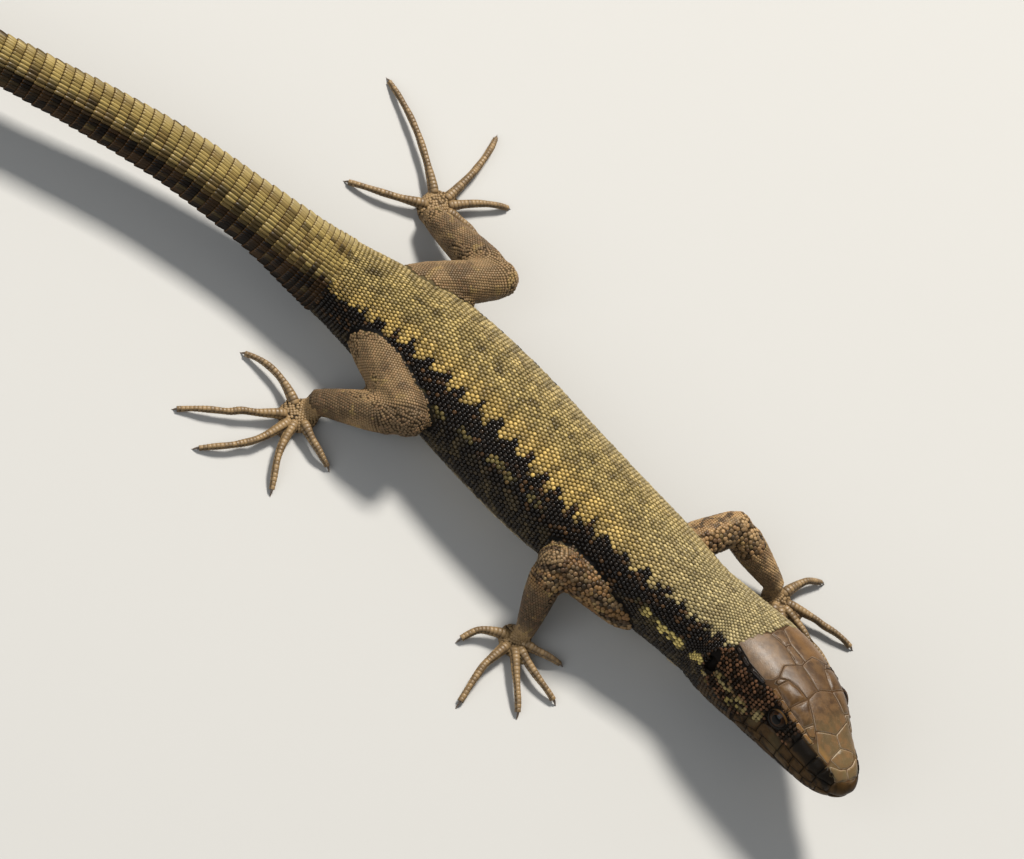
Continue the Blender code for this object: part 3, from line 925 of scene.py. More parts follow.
def back_scales(columns, pitch):
    """Staggered rows of small domed scales over the back and flanks, in three lengths."""
    body = WORK.body
    rng = np.random.default_rng(11)
    rows = [BACK_START]
    while rows[-1] < TAIL_START:
        rows.append(rows[-1] + pitch * np.interp(rows[-1], *np.transpose(ROW_GAPS)))
    rows = np.array(rows)
    for name, start, end in (("neck_scales", 12, 29), ("back_scales", 29, 48), ("rump_scales", 48, 70)):
        coat = Coat(name, "back_scales")
        along, share = [], []
        for row in np.flatnonzero((rows >= start) & (rows < end)):
            spots = (np.arange(columns) + 0.5 * (row % 2) + 0.25) / columns
            share.append((spots * 2 - 1) * FLANK_SHARE)
            along.append(np.full(columns, rows[row]))
        along, share = np.concatenate(along), np.concatenate(share)
        along = along + (rng.random(len(along)) - 0.5) * 0.05
        good = kept(body, along, share)
        if start < 20:
            good &= off_head(along, share)
        along, share = along[good], share[good]
        count = len(along)
        width = body.girth(along, share) * 2 * FLANK_SHARE / columns
        size = (pitch * 1.26 * jittered(rng, count, 0.06), width, 0.14 * jittered(rng, count, 0.25))
        lay(coat, body, GRANULE, along, share, size, marks("back", count, rng.random(count)))
        coat.build()


def tail_scales():
    """Whorls of keeled plates, each whorl lapping over the next, to the tip of the tail."""
    body = WORK.body
    rng = np.random.default_rng(12)
    whorls = [TAIL_START + 0.35]
    while whorls[-1] < body.length - 0.5:
        whorls.append(whorls[-1] + np.interp(whorls[-1], *np.transpose(WHORL_GAPS)))
    lengths = (("tail_base", 0, 88), ("tail_middle", 88, 120), ("tail_end", 120, 999))
    for name, start, end in lengths:
        coat = Coat(f"{name}_scales", "tail_scales")
        for number in range(len(whorls) - 1):
            place, pitch = whorls[number], whorls[number + 1] - whorls[number]
            if not start <= place < end:
                continue
            girth = float(body.girth(place, -1) + body.girth(place, 1))
            plates = max(6, 2 * round(girth / TAIL_PLATE_WIDTH))
            share = (np.arange(plates) + 0.5) / plates * 2 - 1
            along = np.full(plates, place)
            good = kept(body, along, share)
            along, share = along[good], share[good]
            count = len(along)
            if count:
                height = 0.22 * jittered(rng, count, 0.12) * min(1.0, 0.45 + girth / 20)
                size = (pitch * 1.12, girth / plates * 0.98, height)
                mark = marks("tail", count, rng.random(count), number % 2)
                lay(coat, body, TAIL_PLATE, along, share, size, mark)
        coat.build()


def plate_row(coat, rng, place, share, length, width, height):
    """Belly plates side by side. Width is each one's share of half the way round."""
    body = WORK.body
    share = wrapped(share)
    along = np.full(len(share), place)
    size = (length, width * body.girth(along, share), height)
    lay(coat, body, PLATE, along, share, size, marks("belly", len(share), rng.random(len(share))))


def belly_plates():
    """Six rows of broad belly plates, the vent's plate, and the collar under the neck."""
    body = WORK.body
    rng = np.random.default_rng(13)
    coat = Coat("belly_plates", "throat_scales")
    widths = np.array([1.25, 1.0, 0.82, 0.82, 1.0, 1.25])
    edges = np.concatenate([[0], np.cumsum(widths)]) / widths.sum()
    low = FLANK_SHARE - 0.01
    whole = 2 - 2 * low
    centres, wide = low + (edges[:-1] + edges[1:]) / 2 * whole, np.diff(edges) * whole
    for place in np.arange(COLLAR + 1.1, VENT - 0.8, 1.42):
        good = kept(body, np.full(6, place), wrapped(centres))
        if good.any():
            plate_row(coat, rng, place, centres[good], 1.6, wide[good] * 0.99, 0.13)
    lay(coat, body, PLATE, [VENT], [0.999], (1.7, 3.6, 0.14), marks("belly", 1))
    # Two rows behind the vent's plate, of which the first has only its ends
    for place, number, chosen in ((VENT + 0.1, 4, [0, -1]), (VENT + 1.3, 9, slice(None))):
        share = low + (np.arange(number) + 0.5) / number * whole
        plate_row(coat, rng, place, share[chosen], 0.95, whole / number, 0.12)
    share = low - 0.03 + (np.arange(11) + 0.5) / 11 * (whole + 0.06)
    plate_row(coat, rng, COLLAR, share, 1.5, (whole + 0.06) / 11 * 1.02, 0.22)
    coat.build()


def throat_scales():
    """Small flat scales under the throat, from the chin shields to the collar."""
    rng = np.random.default_rng(14)
    coat = Coat("throat_scales", "throat_scales")
    body, head = WORK.body, WORK.head
    number = 32
    for row, place in enumerate(np.arange(12.9, COLLAR - 0.3, 0.38)):
        round_it = (np.arange(number) + 0.5 * (row % 2)) / number * 2 * (1 - FLANK_SHARE)
        share = wrapped(FLANK_SHARE + round_it)
        along = np.full(number, place)
        good = off_head(along, share) & kept(body, along, share)
        along, share = along[good], share[good]
        if len(along):
            grown = 1 + 0.5 * eased(place, COLLAR - 3, COLLAR)
            width = 2 * (1 - FLANK_SHARE) * body.girth(along, share) / number * 1.05
            size = (0.42 * grown, width, 0.1)
            lay(coat, body, GRANULE, along, share, size, marks("belly", len(along), rng.random(len(along))))
    for row, place in enumerate(np.arange(6.5, HEAD_END + 0.1, 0.37)):
        for sign in (-1, 1):
            girth = float(head.girth(place, sign))
            low = GAPE_ARC
            if place < MOUTH_END + 0.3:
                low = abs(WORK.mouth[sign](min(place, MOUTH_END))) + 1.05
            if place < CHIN_END:
                low = girth - chin_gap(place) - 0.1
            arcs = np.arange(low, girth + 0.1, 0.37) + 0.18 * (row % 2)
            if not len(arcs):
                continue
            along = np.full(len(arcs), place)
            size = (0.43, 0.42, 0.09 * jittered(rng, len(arcs), 0.2))
            mark = marks("lip", len(arcs), rng.random(len(arcs)))
            plant(coat, head, GRANULE, along, sign * arcs / girth, size, mark)
    coat.build()


# -------- the head


def find_mouth():
    """The line of the mouth on each side, as the arc at each place along the head."""
    head = WORK.head
    jaw = tree_of_nodes(["lower_jaw"])
    upper = tree_of_nodes(["head"])
    lines = {}
    for sign in (-1, 1):
        places, arcs = [], []
        for place in np.arange(0.8, MOUTH_END, 0.6):
            for share in np.arange(0.3, 1.0, 0.01):
                point = head.point(place, sign * share)
                out = head.outward(place, sign * share)
                origin, way = Vector(point + out * 1.5 * MM), Vector(-out)
                hit_jaw = jaw.ray_cast(origin, way, 3 * MM)[3]
                hit_head = upper.ray_cast(origin, way, 3 * MM)[3]
                if hit_jaw is not None and (hit_head is None or hit_jaw < hit_head):
                    places.append(place)
                    arcs.append(share * float(head.girth(place, sign)))
                    break
        lines[sign] = np.polynomial.Polynomial.fit(places, arcs, 3)
    return lines


CROWN = {
    "nasal": ((0.55, 0.0), (0.5, 1.2), (1.15, 1.7), (2.1, 1.75), (1.5, 0.75), (1.35, 0.0)),
    "frontonasal": ((1.38, 0.0), (1.53, 0.78), (2.5, 1.5), (3.1, 0.0)),
    "prefrontal": ((3.12, 0.0), (2.52, 1.52), (2.25, 1.85), (3.5, 2.4), (5.15, 2.0), (4.28, 0.0)),
    "frontal": ((4.3, 0.0), (5.2, 2.0), (6.4, 1.75), (7.9, 1.5), (8.35, 0.3), (8.3, 0.0)),
    "frontoparietal": (
        (8.32, 0.0), (8.38, 0.32), (8.0, 1.52), (9.2, 1.75), (10.3, 2.25), (10.85, 2.9), (11.7, 1.75),
        (11.35, 0.55), (11.15, 0.0),
    ),
    "interparietal": ((11.17, 0.0), (11.42, 0.52), (13.3, 0.38), (13.5, 0.0)),
    "occipital": ((13.52, 0.0), (13.45, 0.3), (15.1, 0.85), (15.3, 0.0)),
    "parietal": (
        (11.4, 0.6), (11.75, 1.8), (10.9, 3.0), (10.9, 3.6), (11.3, 4.2), (13.4, 4.5), (15.5, 4.3),
        (15.6, 2.2), (15.2, 0.9), (13.5, 0.36),
    ),
    "supraocular_1": ((5.2, 2.05), (4.5, 2.2), (4.9, 2.75), (5.85, 3.0), (5.75, 1.95)),
    "supraocular_2": ((5.8, 1.93), (5.9, 3.0), (6.9, 3.3), (7.95, 3.5), (7.92, 1.55)),
    "supraocular_3": ((8.0, 1.56), (8.0, 3.52), (9.1, 3.65), (10.2, 3.5), (10.25, 2.3), (9.2, 1.78)),
    "supraocular_4": ((10.3, 2.35), (10.25, 3.5), (10.6, 3.7), (10.85, 3.35), (10.8, 2.95)),
}
ON_MIDLINE = ("frontonasal", "frontal", "interparietal", "occipital")
SWELL = {"supraocular_2": 0.09, "supraocular_3": 0.12, "parietal": 0.04, "nasal": 0.05}


def head_shields():
    """The big flat shields of the crown, each with pale seams round it."""
    head = WORK.head
    coat = Coat("head_shields", "head_shields")
    for number, (name, half) in enumerate(CROWN.items()):
        halves = [[(along, sign * arc) for along, arc in half] for sign in (-1, 1)]
        if name in ON_MIDLINE:
            halves = [[*half, *((along, -arc) for along, arc in reversed(half) if arc > 0)]]
        for side, outline in enumerate(halves):
            mark = (ZONE["shield"], number / 13 + 0.03 * side, 0.0)
            dome = SWELL.get(name, 0.02)
            inlay(coat, head, outline, 0.07, mark, dome=dome, centre_arc=MIDLINE_ARC)
    for sign in (-1, 1):
        for cuts, inner, wide, zone, tone in (
            ((4.3, 5.5, 6.6, 7.8, 9.0, 10.2), brow, 0.5, "shield", 0.5),
            ((11.0, 12.9, 14.4, 15.3), rear_brow, 0.4, "temple", 0.2),
        ):
            lines = (inner, lambda s, line=inner, wide=wide: line(s) + wide)
            strips(coat, head, sign, cuts, *lines, 0.07, zone, tone, shift=MIDLINE_ARC)
    coat.build()


def tip_shield(coat, low, high, wide, tone):
    """A shield wrapped round the snout's tip between two heights, given in degrees."""
    head = WORK.head
    ahead, up, left = -head.heading[0], head.up[0], head.left[0]
    start = Vector(head.middles[0] - ahead * 1.3 * MM)
    rows, columns = 10, 18
    points, rises = [], []
    for i in range(rows):
        for j in range(columns):
            edge = min(i, rows - 1 - i, j, columns - 1 - j)
            tall = radians(low + (high - low) * np.clip((i - 0.9) / (rows - 2.8), 0, 1))
            turn = radians(wide * (2 * np.clip((j - 0.9) / (columns - 2.8), 0, 1) - 1))
            way = cos(tall) * (cos(turn) * ahead + sin(turn) * left) + sin(tall) * up
            place, normal, _, _ = WORK.skin_tree.ray_cast(start, Vector(way))
            lift = (-0.12, 0.05, 0.08, 0.09)[min(edge, 3)]
            points.append(np.array(place + normal * lift * MM))
            rises.append((0.0, 0.4, 0.8, 1.0)[min(edge, 3)])
    faces = [(a, d, c, b) for a, b, c, d in quads(rows, columns, closed=False)]
    points = np.array(points)
    lie = lie_of(head, *head.place(points))
    mark = np.broadcast_to((ZONE["lip"], tone, 0.0), (1, len(points), 3))
    spread = np.array([(i / rows - 0.5, j / columns - 0.5) for i in range(rows) for j in range(columns)])
    root = np.array([0.012, 0.17 if high > 0 else 0.30])
    coat.add(points[None], faces, np.array(rises), lie[None], mark, (root + spread * PATCH)[None])


def nostrils(coat):
    """A small raised ring round a dark pit on each side of the snout."""
    head = WORK.head
    place, arc = NOSTRIL_PLACE
    turns = [pi * k / 10 for k in range(20)]
    for sign in (-1, 1):
        share = sign * arc / float(head.girth(place, sign))
        centre, out = head.point(place, share), head.outward(place, share)
        ahead = unit(head.point(place - 0.2, share) - centre)
        ahead = unit(ahead - out * (ahead @ out))
        above = np.cross(out, ahead)
        points, rises = [], []
        for wide, lift, rise in NOSTRIL_RINGS:
            for turn in turns:
                round_it = ahead * cos(turn) * wide + above * sin(turn) * wide * 0.8
                points.append(centre + (round_it + out * lift) * MM)
                rises.append(rise)
        faces = quads(len(NOSTRIL_RINGS), len(turns))
        if sign < 0:
            faces = [face[::-1] for face in faces]
        count = len(points)
        lie = np.broadcast_to((place, sign * arc, share), (1, count, 3))
        # The inner disc takes the temples' near-black: painted shade of the opening.
        zone = np.where(np.array(rises) > 0.5, ZONE["lip"], ZONE["temple"])
        mark = np.stack([zone, np.zeros(count), np.zeros(count)], axis=1)
        turn = np.arange(count) * 2 * pi / 20
        spread = np.stack([np.cos(turn), np.sin(turn)], axis=1)
        spread = spread * (0.5 - 0.1 * np.arange(count)[:, None] // 20)
        patch = (patch_place(place, share) + spread * PATCH)[None]
        coat.add(np.array(points)[None], faces, np.array(rises), lie, mark[None], patch)


def strips(coat, sheet, sign, cuts, inner, outer, height, zone, tone, shift=0.0, dome=0.03):
    """A row of shields between two lines along the head, parted at the cuts."""
    for number, (start, end) in enumerate(zip(cuts, cuts[1:])):
        near = [(s, sign * inner(s)) for s in np.linspace(start + 0.01, end - 0.01, 4)]
        far = [(s, sign * outer(s)) for s in np.linspace(end - 0.01, start + 0.01, 4)]
        mark = (ZONE[zone], tone, number % 2)
        inlay(coat, sheet, [*near, *far], height, mark, dome=dome, centre_arc=shift)


def lip_shields():
    """Shields of the lips, snout sides and chin."""
    head = WORK.head
    coat = Coat("lip_shields", "face_scales")
    for sign in (-1, 1):
        mouth = WORK.mouth[sign]

        def lip(s, line=mouth):
            return float(line(s))

        def upper(s, line=mouth):
            return float(line(s)) - lip_height(s)

        def lower(s, line=mouth):
            return float(line(s)) + float(np.interp(s, (0.5, 3, 9, 11), (0.75, 1.0, 1.05, 0.8)))

        def middle(s):
            return (canthus(s) + upper(s)) / 2

        def under_lip(s):
            return lower(s) + 0.02

        def beside_chin(s, side=sign):
            return float(head.girth(s, side)) - (chin_gap(s) if s > CHIN_START else 0.03)

        # The lips, then the snout's side back to the eye, then the chin's pairs
        for cuts, inner, outer, height, zone, tone, dome in (
            ((0.75, 2.1, 3.4, 4.7, 6.1, 8.7, 10.0, 11.1), upper, lip, 0.09, "lip", 0.4, 0.05),
            ((0.6, 1.7, 3.0, 4.5, 6.2, 8.0, 9.6, 10.9), lip, lower, 0.08, "lip", 0.6, 0.05),
            ((0.85, 2.15), canthus, upper, 0.09, "lip", 0.2, 0.03),
            ((2.15, 3.3), canthus, upper, 0.08, "lip", 0.1, 0.04),
            ((3.3, 5.35), canthus, upper, 0.08, "lip", 0.15, 0.06),
            ((5.35, 6.2), canthus, middle, 0.08, "temple", 0.3, 0.03),
            ((5.35, 6.3), middle, upper, 0.08, "lip", 0.2, 0.03),
            ((0.9, 2.3, 4.0, CHIN_START), under_lip, beside_chin, 0.08, "belly", 0.3, 0.03),
            ((CHIN_START, CHIN_END), under_lip, beside_chin, 0.08, "belly", 0.4, 0.03),
        ):
            strips(coat, head, sign, cuts, inner, outer, height, zone, tone, dome=dome)
    tip_shield(coat, -15, 46, 74, 0.45)
    tip_shield(coat, -56, -19, 62, 0.6)
    nostrils(coat)
    coat.build()


def temple_scales():
    """Fine beads over the temples, round the ear and between the eye and the lips."""
    head = WORK.head
    rng = np.random.default_rng(15)
    coat = Coat("temple_scales", "face_scales")
    for sign in (-1, 1):
        mouth = WORK.mouth[sign]
        for row, place in enumerate(np.arange(5.9, HEAD_END + 0.3, 0.36)):
            top = brow(place) + 0.6 if place < 10.9 else rear_brow(place) + 0.75
            low = float(mouth(place)) - lip_height(place) - 0.1 if place < MOUTH_END else GAPE_ARC
            arcs = np.arange(top, low, 0.36) + 0.18 * (row % 2)
            if not len(arcs):
                continue
            shift = -MIDLINE_ARC if sign < 0 else MIDLINE_ARC
            along = np.full(len(arcs), place) + (rng.random(len(arcs)) - 0.5) * 0.06
            share = sign * (arcs + shift * 0.5) / float(head.girth(place, sign))
            points = head.point(along, share)
            eye = WORK.eyes["right" if sign < 0 else "left"]
            far = norm(points - eye.centre, axis=1) > 1.62 * MM
            good = far & clear_of_ears(points)
            count = int(good.sum())
            if not count:
                continue
            size = (0.44 * jittered(rng, count, 0.12), 0.43 * jittered(rng, count, 0.12), 0.14)
            mark = marks("temple", count, rng.random(count))
            plant(coat, head, GRANULE, along[good], share[good], size, mark)
    coat.build()


def gaze_way(eye, angle, turn):
    """A direction out of the eye: an angle off its axis, and a turn round it."""
    round_it = cos(turn) * eye.ahead + sin(turn) * eye.up
    return cos(angle) * eye.out + sin(angle) * round_it


def eyeball(side, sign, eye):
    """A ball with a slight bulge over the pupil, and how far each point is off its axis."""
    rings, segments = 24, 40
    points, gaze = [], []
    for angle in (pi * i / rings for i in range(rings + 1)):
        for k in range(segments):
            way = gaze_way(eye, angle, 2 * pi * k / segments)
            bulge = 1 + 0.02 * exp(-((angle / 0.5) ** 2))
            points.append(eye.centre + way * EYE_RADIUS * MM * bulge)
            gaze.append(angle / pi)
    faces = quads(rings + 1, segments)
    if sign < 0:
        faces = [(b, a, d, c) for a, b, c, d in faces]
    mesh = bpy.data.meshes.new(f"eyeball_{side}")
    mesh.from_pydata([tuple(p) for p in points], [], faces)
    work = bmesh.new()
    work.from_mesh(mesh)
    layer = work.verts.layers.float.new("gaze")
    for vert, value in zip(work.verts, gaze):
        vert[layer] = value
    bmesh.ops.remove_doubles(work, verts=work.verts, dist=1e-7)
    bmesh.ops.recalc_face_normals(work, faces=work.faces)
    work.to_mesh(mesh)
    work.free()
    mesh.shade_smooth()
    return dress(placed(f"eyeball_{side}", mesh), "eye")


def eye_pieces():
    """Two eyeballs with iris and pupil, and round each a ring of fine scales for the lids."""
    for side, sign in SIDES:
        eye = WORK.eyes[side]
        ball = eyeball(side, sign, eye)
        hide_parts(f"eye_{side}")
        eyelids(side, sign, eye)


def lid_opening(turn):
    """How far the lids' edge lies from the middle of the eye, in radians, round the eye."""
    level, height = abs(cos(turn)), sin(turn)
    tall = LID_ABOVE if height > 0 else LID_BELOW
    power = 1.8
    return 1 / ((level / LID_LONG) ** power + (abs(height) / tall) ** power) ** (1 / power)


def eyelids(side, sign, eye):
    """A thick-edged ring of skin over the eyeball, with fine scales on it."""
    coat = Coat(f"eyelids_{side}", "face_scales")
    head, segments = WORK.head, 48
    points, rises = [], []
    for inset, lift, rise in LID_RINGS:
        for k in range(segments):
            turn = 2 * pi * k / segments
            way = gaze_way(eye, lid_opening(turn) + inset, turn)
            points.append(eye.centre + way * (EYE_RADIUS + lift) * MM)
            rises.append(rise)
    faces = quads(len(LID_RINGS), segments)
    if sign > 0:
        faces = [face[::-1] for face in faces]
    points = np.array(points)
    along, share = head.place(points)
    mark = np.broadcast_to((ZONE["lip"], 0.8, 0.0), (len(points), 3))
    turns = np.arange(len(points))
    spread = np.stack([np.cos(turns), np.sin(turns)], axis=1) * 0.5
    patch = patch_place(along.mean(), share.mean()) + spread * PATCH
    lie = lie_of(head, along, share)
    coat.add(points[None], faces, np.array(rises), lie[None], mark[None], patch[None])
    rng = np.random.default_rng(16)
    roots, normals = [], []
    for ring, inset in enumerate((0.26, 0.40, 0.54, 0.68)):
        number = 30 + 3 * ring
        for k in range(number):
            turn = 2 * pi * (k + 0.5 * (ring % 2)) / number
            angle = lid_opening(turn) + inset
            if angle < LID_REACH:
                normals.append(gaze_way(eye, angle, turn))
                roots.append(eye.centre + normals[-1] * (EYE_RADIUS + 0.05) * MM)
    roots, normals = np.array(roots), np.array(normals)
    along, share = head.place(roots)
    count = len(roots)
    size = (0.23, 0.21, 0.08 * jittered(rng, count, 0.2))
    mark = marks("temple", count, rng.random(count))
    rearward = np.broadcast_to(-eye.ahead, roots.shape)
    lie, patch = lie_of(head, along, share), patch_place(along, share)
    stand(coat, BEAD, roots, normals, rearward, size, lie, mark, patch)
    coat.build()


# -------- legs and toes


def spaced_out(points, spacing, order):
    """Picks points at least a spacing apart, in the order given."""
    cell = spacing.min()
    taken, chosen = {}, []
    for index in order:
        point, gap = points[index], spacing[index]
        x, y, z = (int(v) for v in point // cell)
        reach = ceil(gap / cell)
        near = any(
            ((points[other] - point) ** 2).sum() < gap * gap
            for dx, dy, dz in product(range(-reach, reach + 1), repeat=3)
            for other in taken.get((x + dx, y + dy, z + dz), ())
        )
        if not near:
            taken.setdefault((x, y, z), []).append(index)
            chosen.append(index)
    return np.array(chosen)


def leg_rings(leg, pitch):
    """Staggered rings of points round a leg, found on the skin from its bent middle line."""
    tree = WORK.skin_tree
    axis = WORK.axes[leg]
    root = axis[0] - unit(axis[1] - axis[0]) * 2.0 * MM
    path, _ = evenly(np.vstack([root, axis]), 0.1 * MM)
    path, along = evenly(smoothed(path, 60), 0.1 * MM)
    runs = np.arange(0, along[-1], pitch * RING_SHARE * MM)
    middles = np.stack([np.interp(runs, along, path[:, k]) for k in range(3)], axis=1)
    ahead = unit(np.gradient(middles, axis=0))
    left = unit(np.cross(ahead, (0, 0, 1.0)))
    up = np.cross(left, ahead)
    turns = np.linspace(0, 2 * pi, 48, endpoint=False)
    found = []
    for row, middle in enumerate(middles):
        ways = np.cos(turns)[:, None] * up[row] + np.sin(turns)[:, None] * left[row]
        hits = [tree.ray_cast(Vector(middle), Vector(way), LEG_REACH * MM)[0] for way in ways]
        ring = np.array([hit if hit else (np.nan,) * 3 for hit in (*hits, hits[0])], float)
        steps = np.nan_to_num(norm(np.diff(ring, axis=0), axis=1), nan=0.2 * MM)
        total = np.concatenate([[0], np.cumsum(steps)])
        number = max(3, round(total[-1] / (pitch * MM)))
        at = (np.arange(number) + 0.5 * (row % 2)) * total[-1] / number
        spots = np.stack([np.interp(at, total, ring[:, k]) for k in range(3)], axis=1)
        found.append(spots[~np.isnan(spots).any(axis=1)])
    return np.concatenate(found)


def leg_roots():
    """Where scales may stand on the legs: points in rings first, and then all of the skin."""
    skin = WORK.skin_points[WORK.leg_points]
    near_leg = KDTree(len(skin))
    for index, point in enumerate(skin):
        near_leg.insert(point, index)
    near_leg.balance()
    rings = np.concatenate([leg_rings(leg, LEG_PITCH) for leg in LEGS])
    rings = rings[[near_leg.find(point)[2] < 0.25 * MM for point in rings]]
    points = np.concatenate([rings, skin])
    in_ring = np.arange(len(points)) < len(rings)
    toe_gap = np.full(len(points), 1e9)
    for line in WORK.toes.values():
        gaps = norm(points[:, None] - line[None, 1:], axis=2).min(axis=1)
        toe_gap = np.minimum(toe_gap, gaps)
    off_toes = toe_gap > 0.45 * MM
    return points[off_toes], in_ring[off_toes]


def leg_scales():
    """Granules in rings close together over the legs, larger on the front of each upper arm."""
    points, in_ring = leg_roots()
    places, normals, _ = nearest_on(WORK.skin_tree, points)
    which, along, angle = leg_place(places)
    rng = np.random.default_rng(17)
    for number, leg in enumerate(LEGS):
        mine = np.flatnonzero(which == number)
        spots, outs, run, turned = places[mine], normals[mine], along[mine], angle[mine]
        middle = np.array(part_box(f"{leg}_foot")).mean(axis=0)
        front = np.clip((outs @ np.array([1.0, 0, 0.25])), 0, 1)
        large = front * (run < UPPER_ARM) * leg.startswith("front")
        spacing = 0.215 + 0.17 * large
        order = np.argsort(rng.random(len(mine)) + ~in_ring[mine])
        chosen = spaced_out(spots, spacing * MM, order)
        count = len(chosen)
        spots, outs, run, turned = spots[chosen], outs[chosen], run[chosen], turned[chosen]
        large, spacing = large[chosen], spacing[chosen]
        root, bend, ankle = WORK.axes[leg]
        on_upper = run < norm(bend - root) / MM
        ways = np.where(on_upper[:, None], (bend - root)[None], (ankle - bend)[None])
        ways = unit(ways - outs * (ways * outs).sum(axis=1, keepdims=True))
        foot_gap = norm(spots - middle, axis=1) / MM
        wide = spacing * np.where(foot_gap < 3.0, 1.5, 1.32 + 0.2 * large)
        size = (wide * 1.06, wide, 0.34 * spacing * jittered(rng, count, 0.15))
        lie = np.stack([run, turned * 2, np.full(count, number)], axis=1)
        across = 0.01 + number * LEG_SHEET + run * 0.0078
        patch = np.stack([across, 0.36 + 0.6 * (turned / (2 * pi) + 0.5)], axis=1)
        tones = rng.random(count)
        on_foot = (foot_gap < 1.5 + 0.5 * tones)[:, None]
        mark = np.where(on_foot, marks("toe", count, tones * 0.6), marks("leg", count, tones))
        coat = Coat(f"{leg}_scales", "leg_scales")
        stand(coat, GRANULE, spots, outs, ways, size, lie, mark, patch)
        coat.build()


def toe_path(node, line):
    """A toe's middle line from inside the foot on, its frame and the distance along it."""
    foot = np.array(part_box(f"{node.split('_toe')[0]}_foot")).mean(axis=0)
    line = np.vstack([line[0] + unit(foot - line[0]) * 1.1 * MM, line])
    path, along = evenly(line, 0.1 * MM)
    path = smoothed(path, 60)
    ahead = unit(np.gradient(path, axis=0))
    sideways = unit(np.cross(ahead, (0, 0, 1.0)))
    return path, along / MM, np.cross(sideways, ahead), sideways


def toe_plate(way_along, run, angles, radius):
    """Points of one plate bent over a stretch of a toe, its two side edges turned in."""
    path, along, up, sideways = way_along
    points, rises = [], []
    for share, lift, rise in TOE_PLATE_ROWS:
        at = run + share * TOE_PITCH
        middle = np.array([np.interp(at, along, path[:, k]) for k in range(3)])
        row = min(int(at / along[-1] * (len(path) - 1)), len(path) - 1)
        for j, angle in enumerate(angles):
            edge = j in (0, len(angles) - 1)
            reach = radius(at) + lift - (0.1 if edge else 0.0)
            way = cos(angle) * up[row] + sin(angle) * sideways[row]
            points.append(middle + way * reach * MM)
            rises.append(0.0 if edge else rise)
    return np.array(points), np.array(rises)


def toe_scales():
    """Saddle-shaped plates over each toe and ridged ones under it."""
    coat = Coat("toe_scutes", "toe_scutes")
    rng = np.random.default_rng(18)
    for node, line in WORK.toes.items():
        leg, toe = LEGS.index(node.split("_toe")[0]), int(node[-1])
        way_along = toe_path(node, line)
        length = way_along[1][-1]
        stops = (0, 0.7, 1.7, 2.8, length * 0.65, length)
        run = 0.25
        while run < length - CLAW_LENGTH * 0.9:
            knuckle = 0.02 * sin(run * 2.1 + toe)

            def radius(at, places=stops, swell=knuckle):
                return np.interp(at, places, TOE_RADII) + swell

            for low, high, sides in ((-66, 66, 7), (66, 120, 4), (-120, -66, 4), (120, 240, 6)):
                angles = np.radians(np.linspace(low + 1.5, high - 1.5, sides))
                points, rises = toe_plate(way_along, run, angles, radius)
                faces = quads(len(TOE_PLATE_ROWS), sides, closed=False)
                mark = marks("toe", 1, rng.random(), float(low == 120))
                across = 0.01 + leg * LEG_SHEET + 0.16 + run * 0.009
                root = np.array([across, 0.36 + 0.12 * toe + 0.02 + (low + 120) / 360 * 0.1])
                spread = (points - points.mean(axis=0))[:, :2] / (0.9 * MM)
                lie = np.array([[run, low / 60, leg]])
                coat.add(points[None], faces, rises, lie, mark, (root + spread * PATCH)[None])
            run += TOE_PITCH
    coat.build()


def claws():
    """A curved, sharp claw at the end of each toe."""
    coat = Coat("claws", "claw")
    for number, line in enumerate(WORK.toes.values()):
        tip, ahead = line[-1], unit(line[-1] - line[-5])
        sideways = unit(np.cross(ahead, (0, 0, 1.0)))
        up = np.cross(sideways, ahead)
        rows, sides = 8, 10
        points, rises = [], []
        for i in range(rows):
            share = i / (rows - 1)
            back = CLAW_LENGTH * 1.12 * (1 - share)
            arch = 0.10 * sin(pi * min(1.0, share * 1.15)) - 0.08 * share
            middle = tip - ahead * back * MM + up * arch * MM
            radius = 0.17 * (1 - share**1.5) + 0.012
            for k in range(sides):
                angle = 2 * pi * k / sides
                way = cos(angle) * up * 1.25 + sin(angle) * sideways * 0.8
                points.append(middle + way * radius * MM)
                rises.append(share)
        faces = quads(rows, sides)
        faces.append(tuple((rows - 1) * sides + k for k in range(sides)))
        points = np.array(points)
        root = np.array([0.02 + number * 0.04, 0.345])
        spread = (points - points.mean(axis=0))[:, :2] / (2 * MM)
        patch = (root + spread * PATCH)[None]
        coat.add(points[None], faces, np.array(rises), np.zeros((1, 3)), marks("toe", 1), patch)
    coat.build()


# -------- finishes


class Value:
    """What a node gives: a number or a colour, which sums take like a plain number."""

    def __init__(self, nodes, socket):
        self.nodes, self.socket = nodes, socket

    def __add__(self, other):
        return self.nodes.math("ADD", self, other)

    def __radd__(self, other):
        return self.nodes.math("ADD", other, self)

    def __sub__(self, other):
        return self.nodes.math("SUBTRACT", self, other)

    def __rsub__(self, other):
        return self.nodes.math("SUBTRACT", other, self)

    def __mul__(self, other):
        return self.nodes.math("MULTIPLY", self, other)

    def __truediv__(self, other):
        return self.nodes.math("DIVIDE", self, other)

    def __abs__(self):
        return self.nodes.math("ABSOLUTE", self)


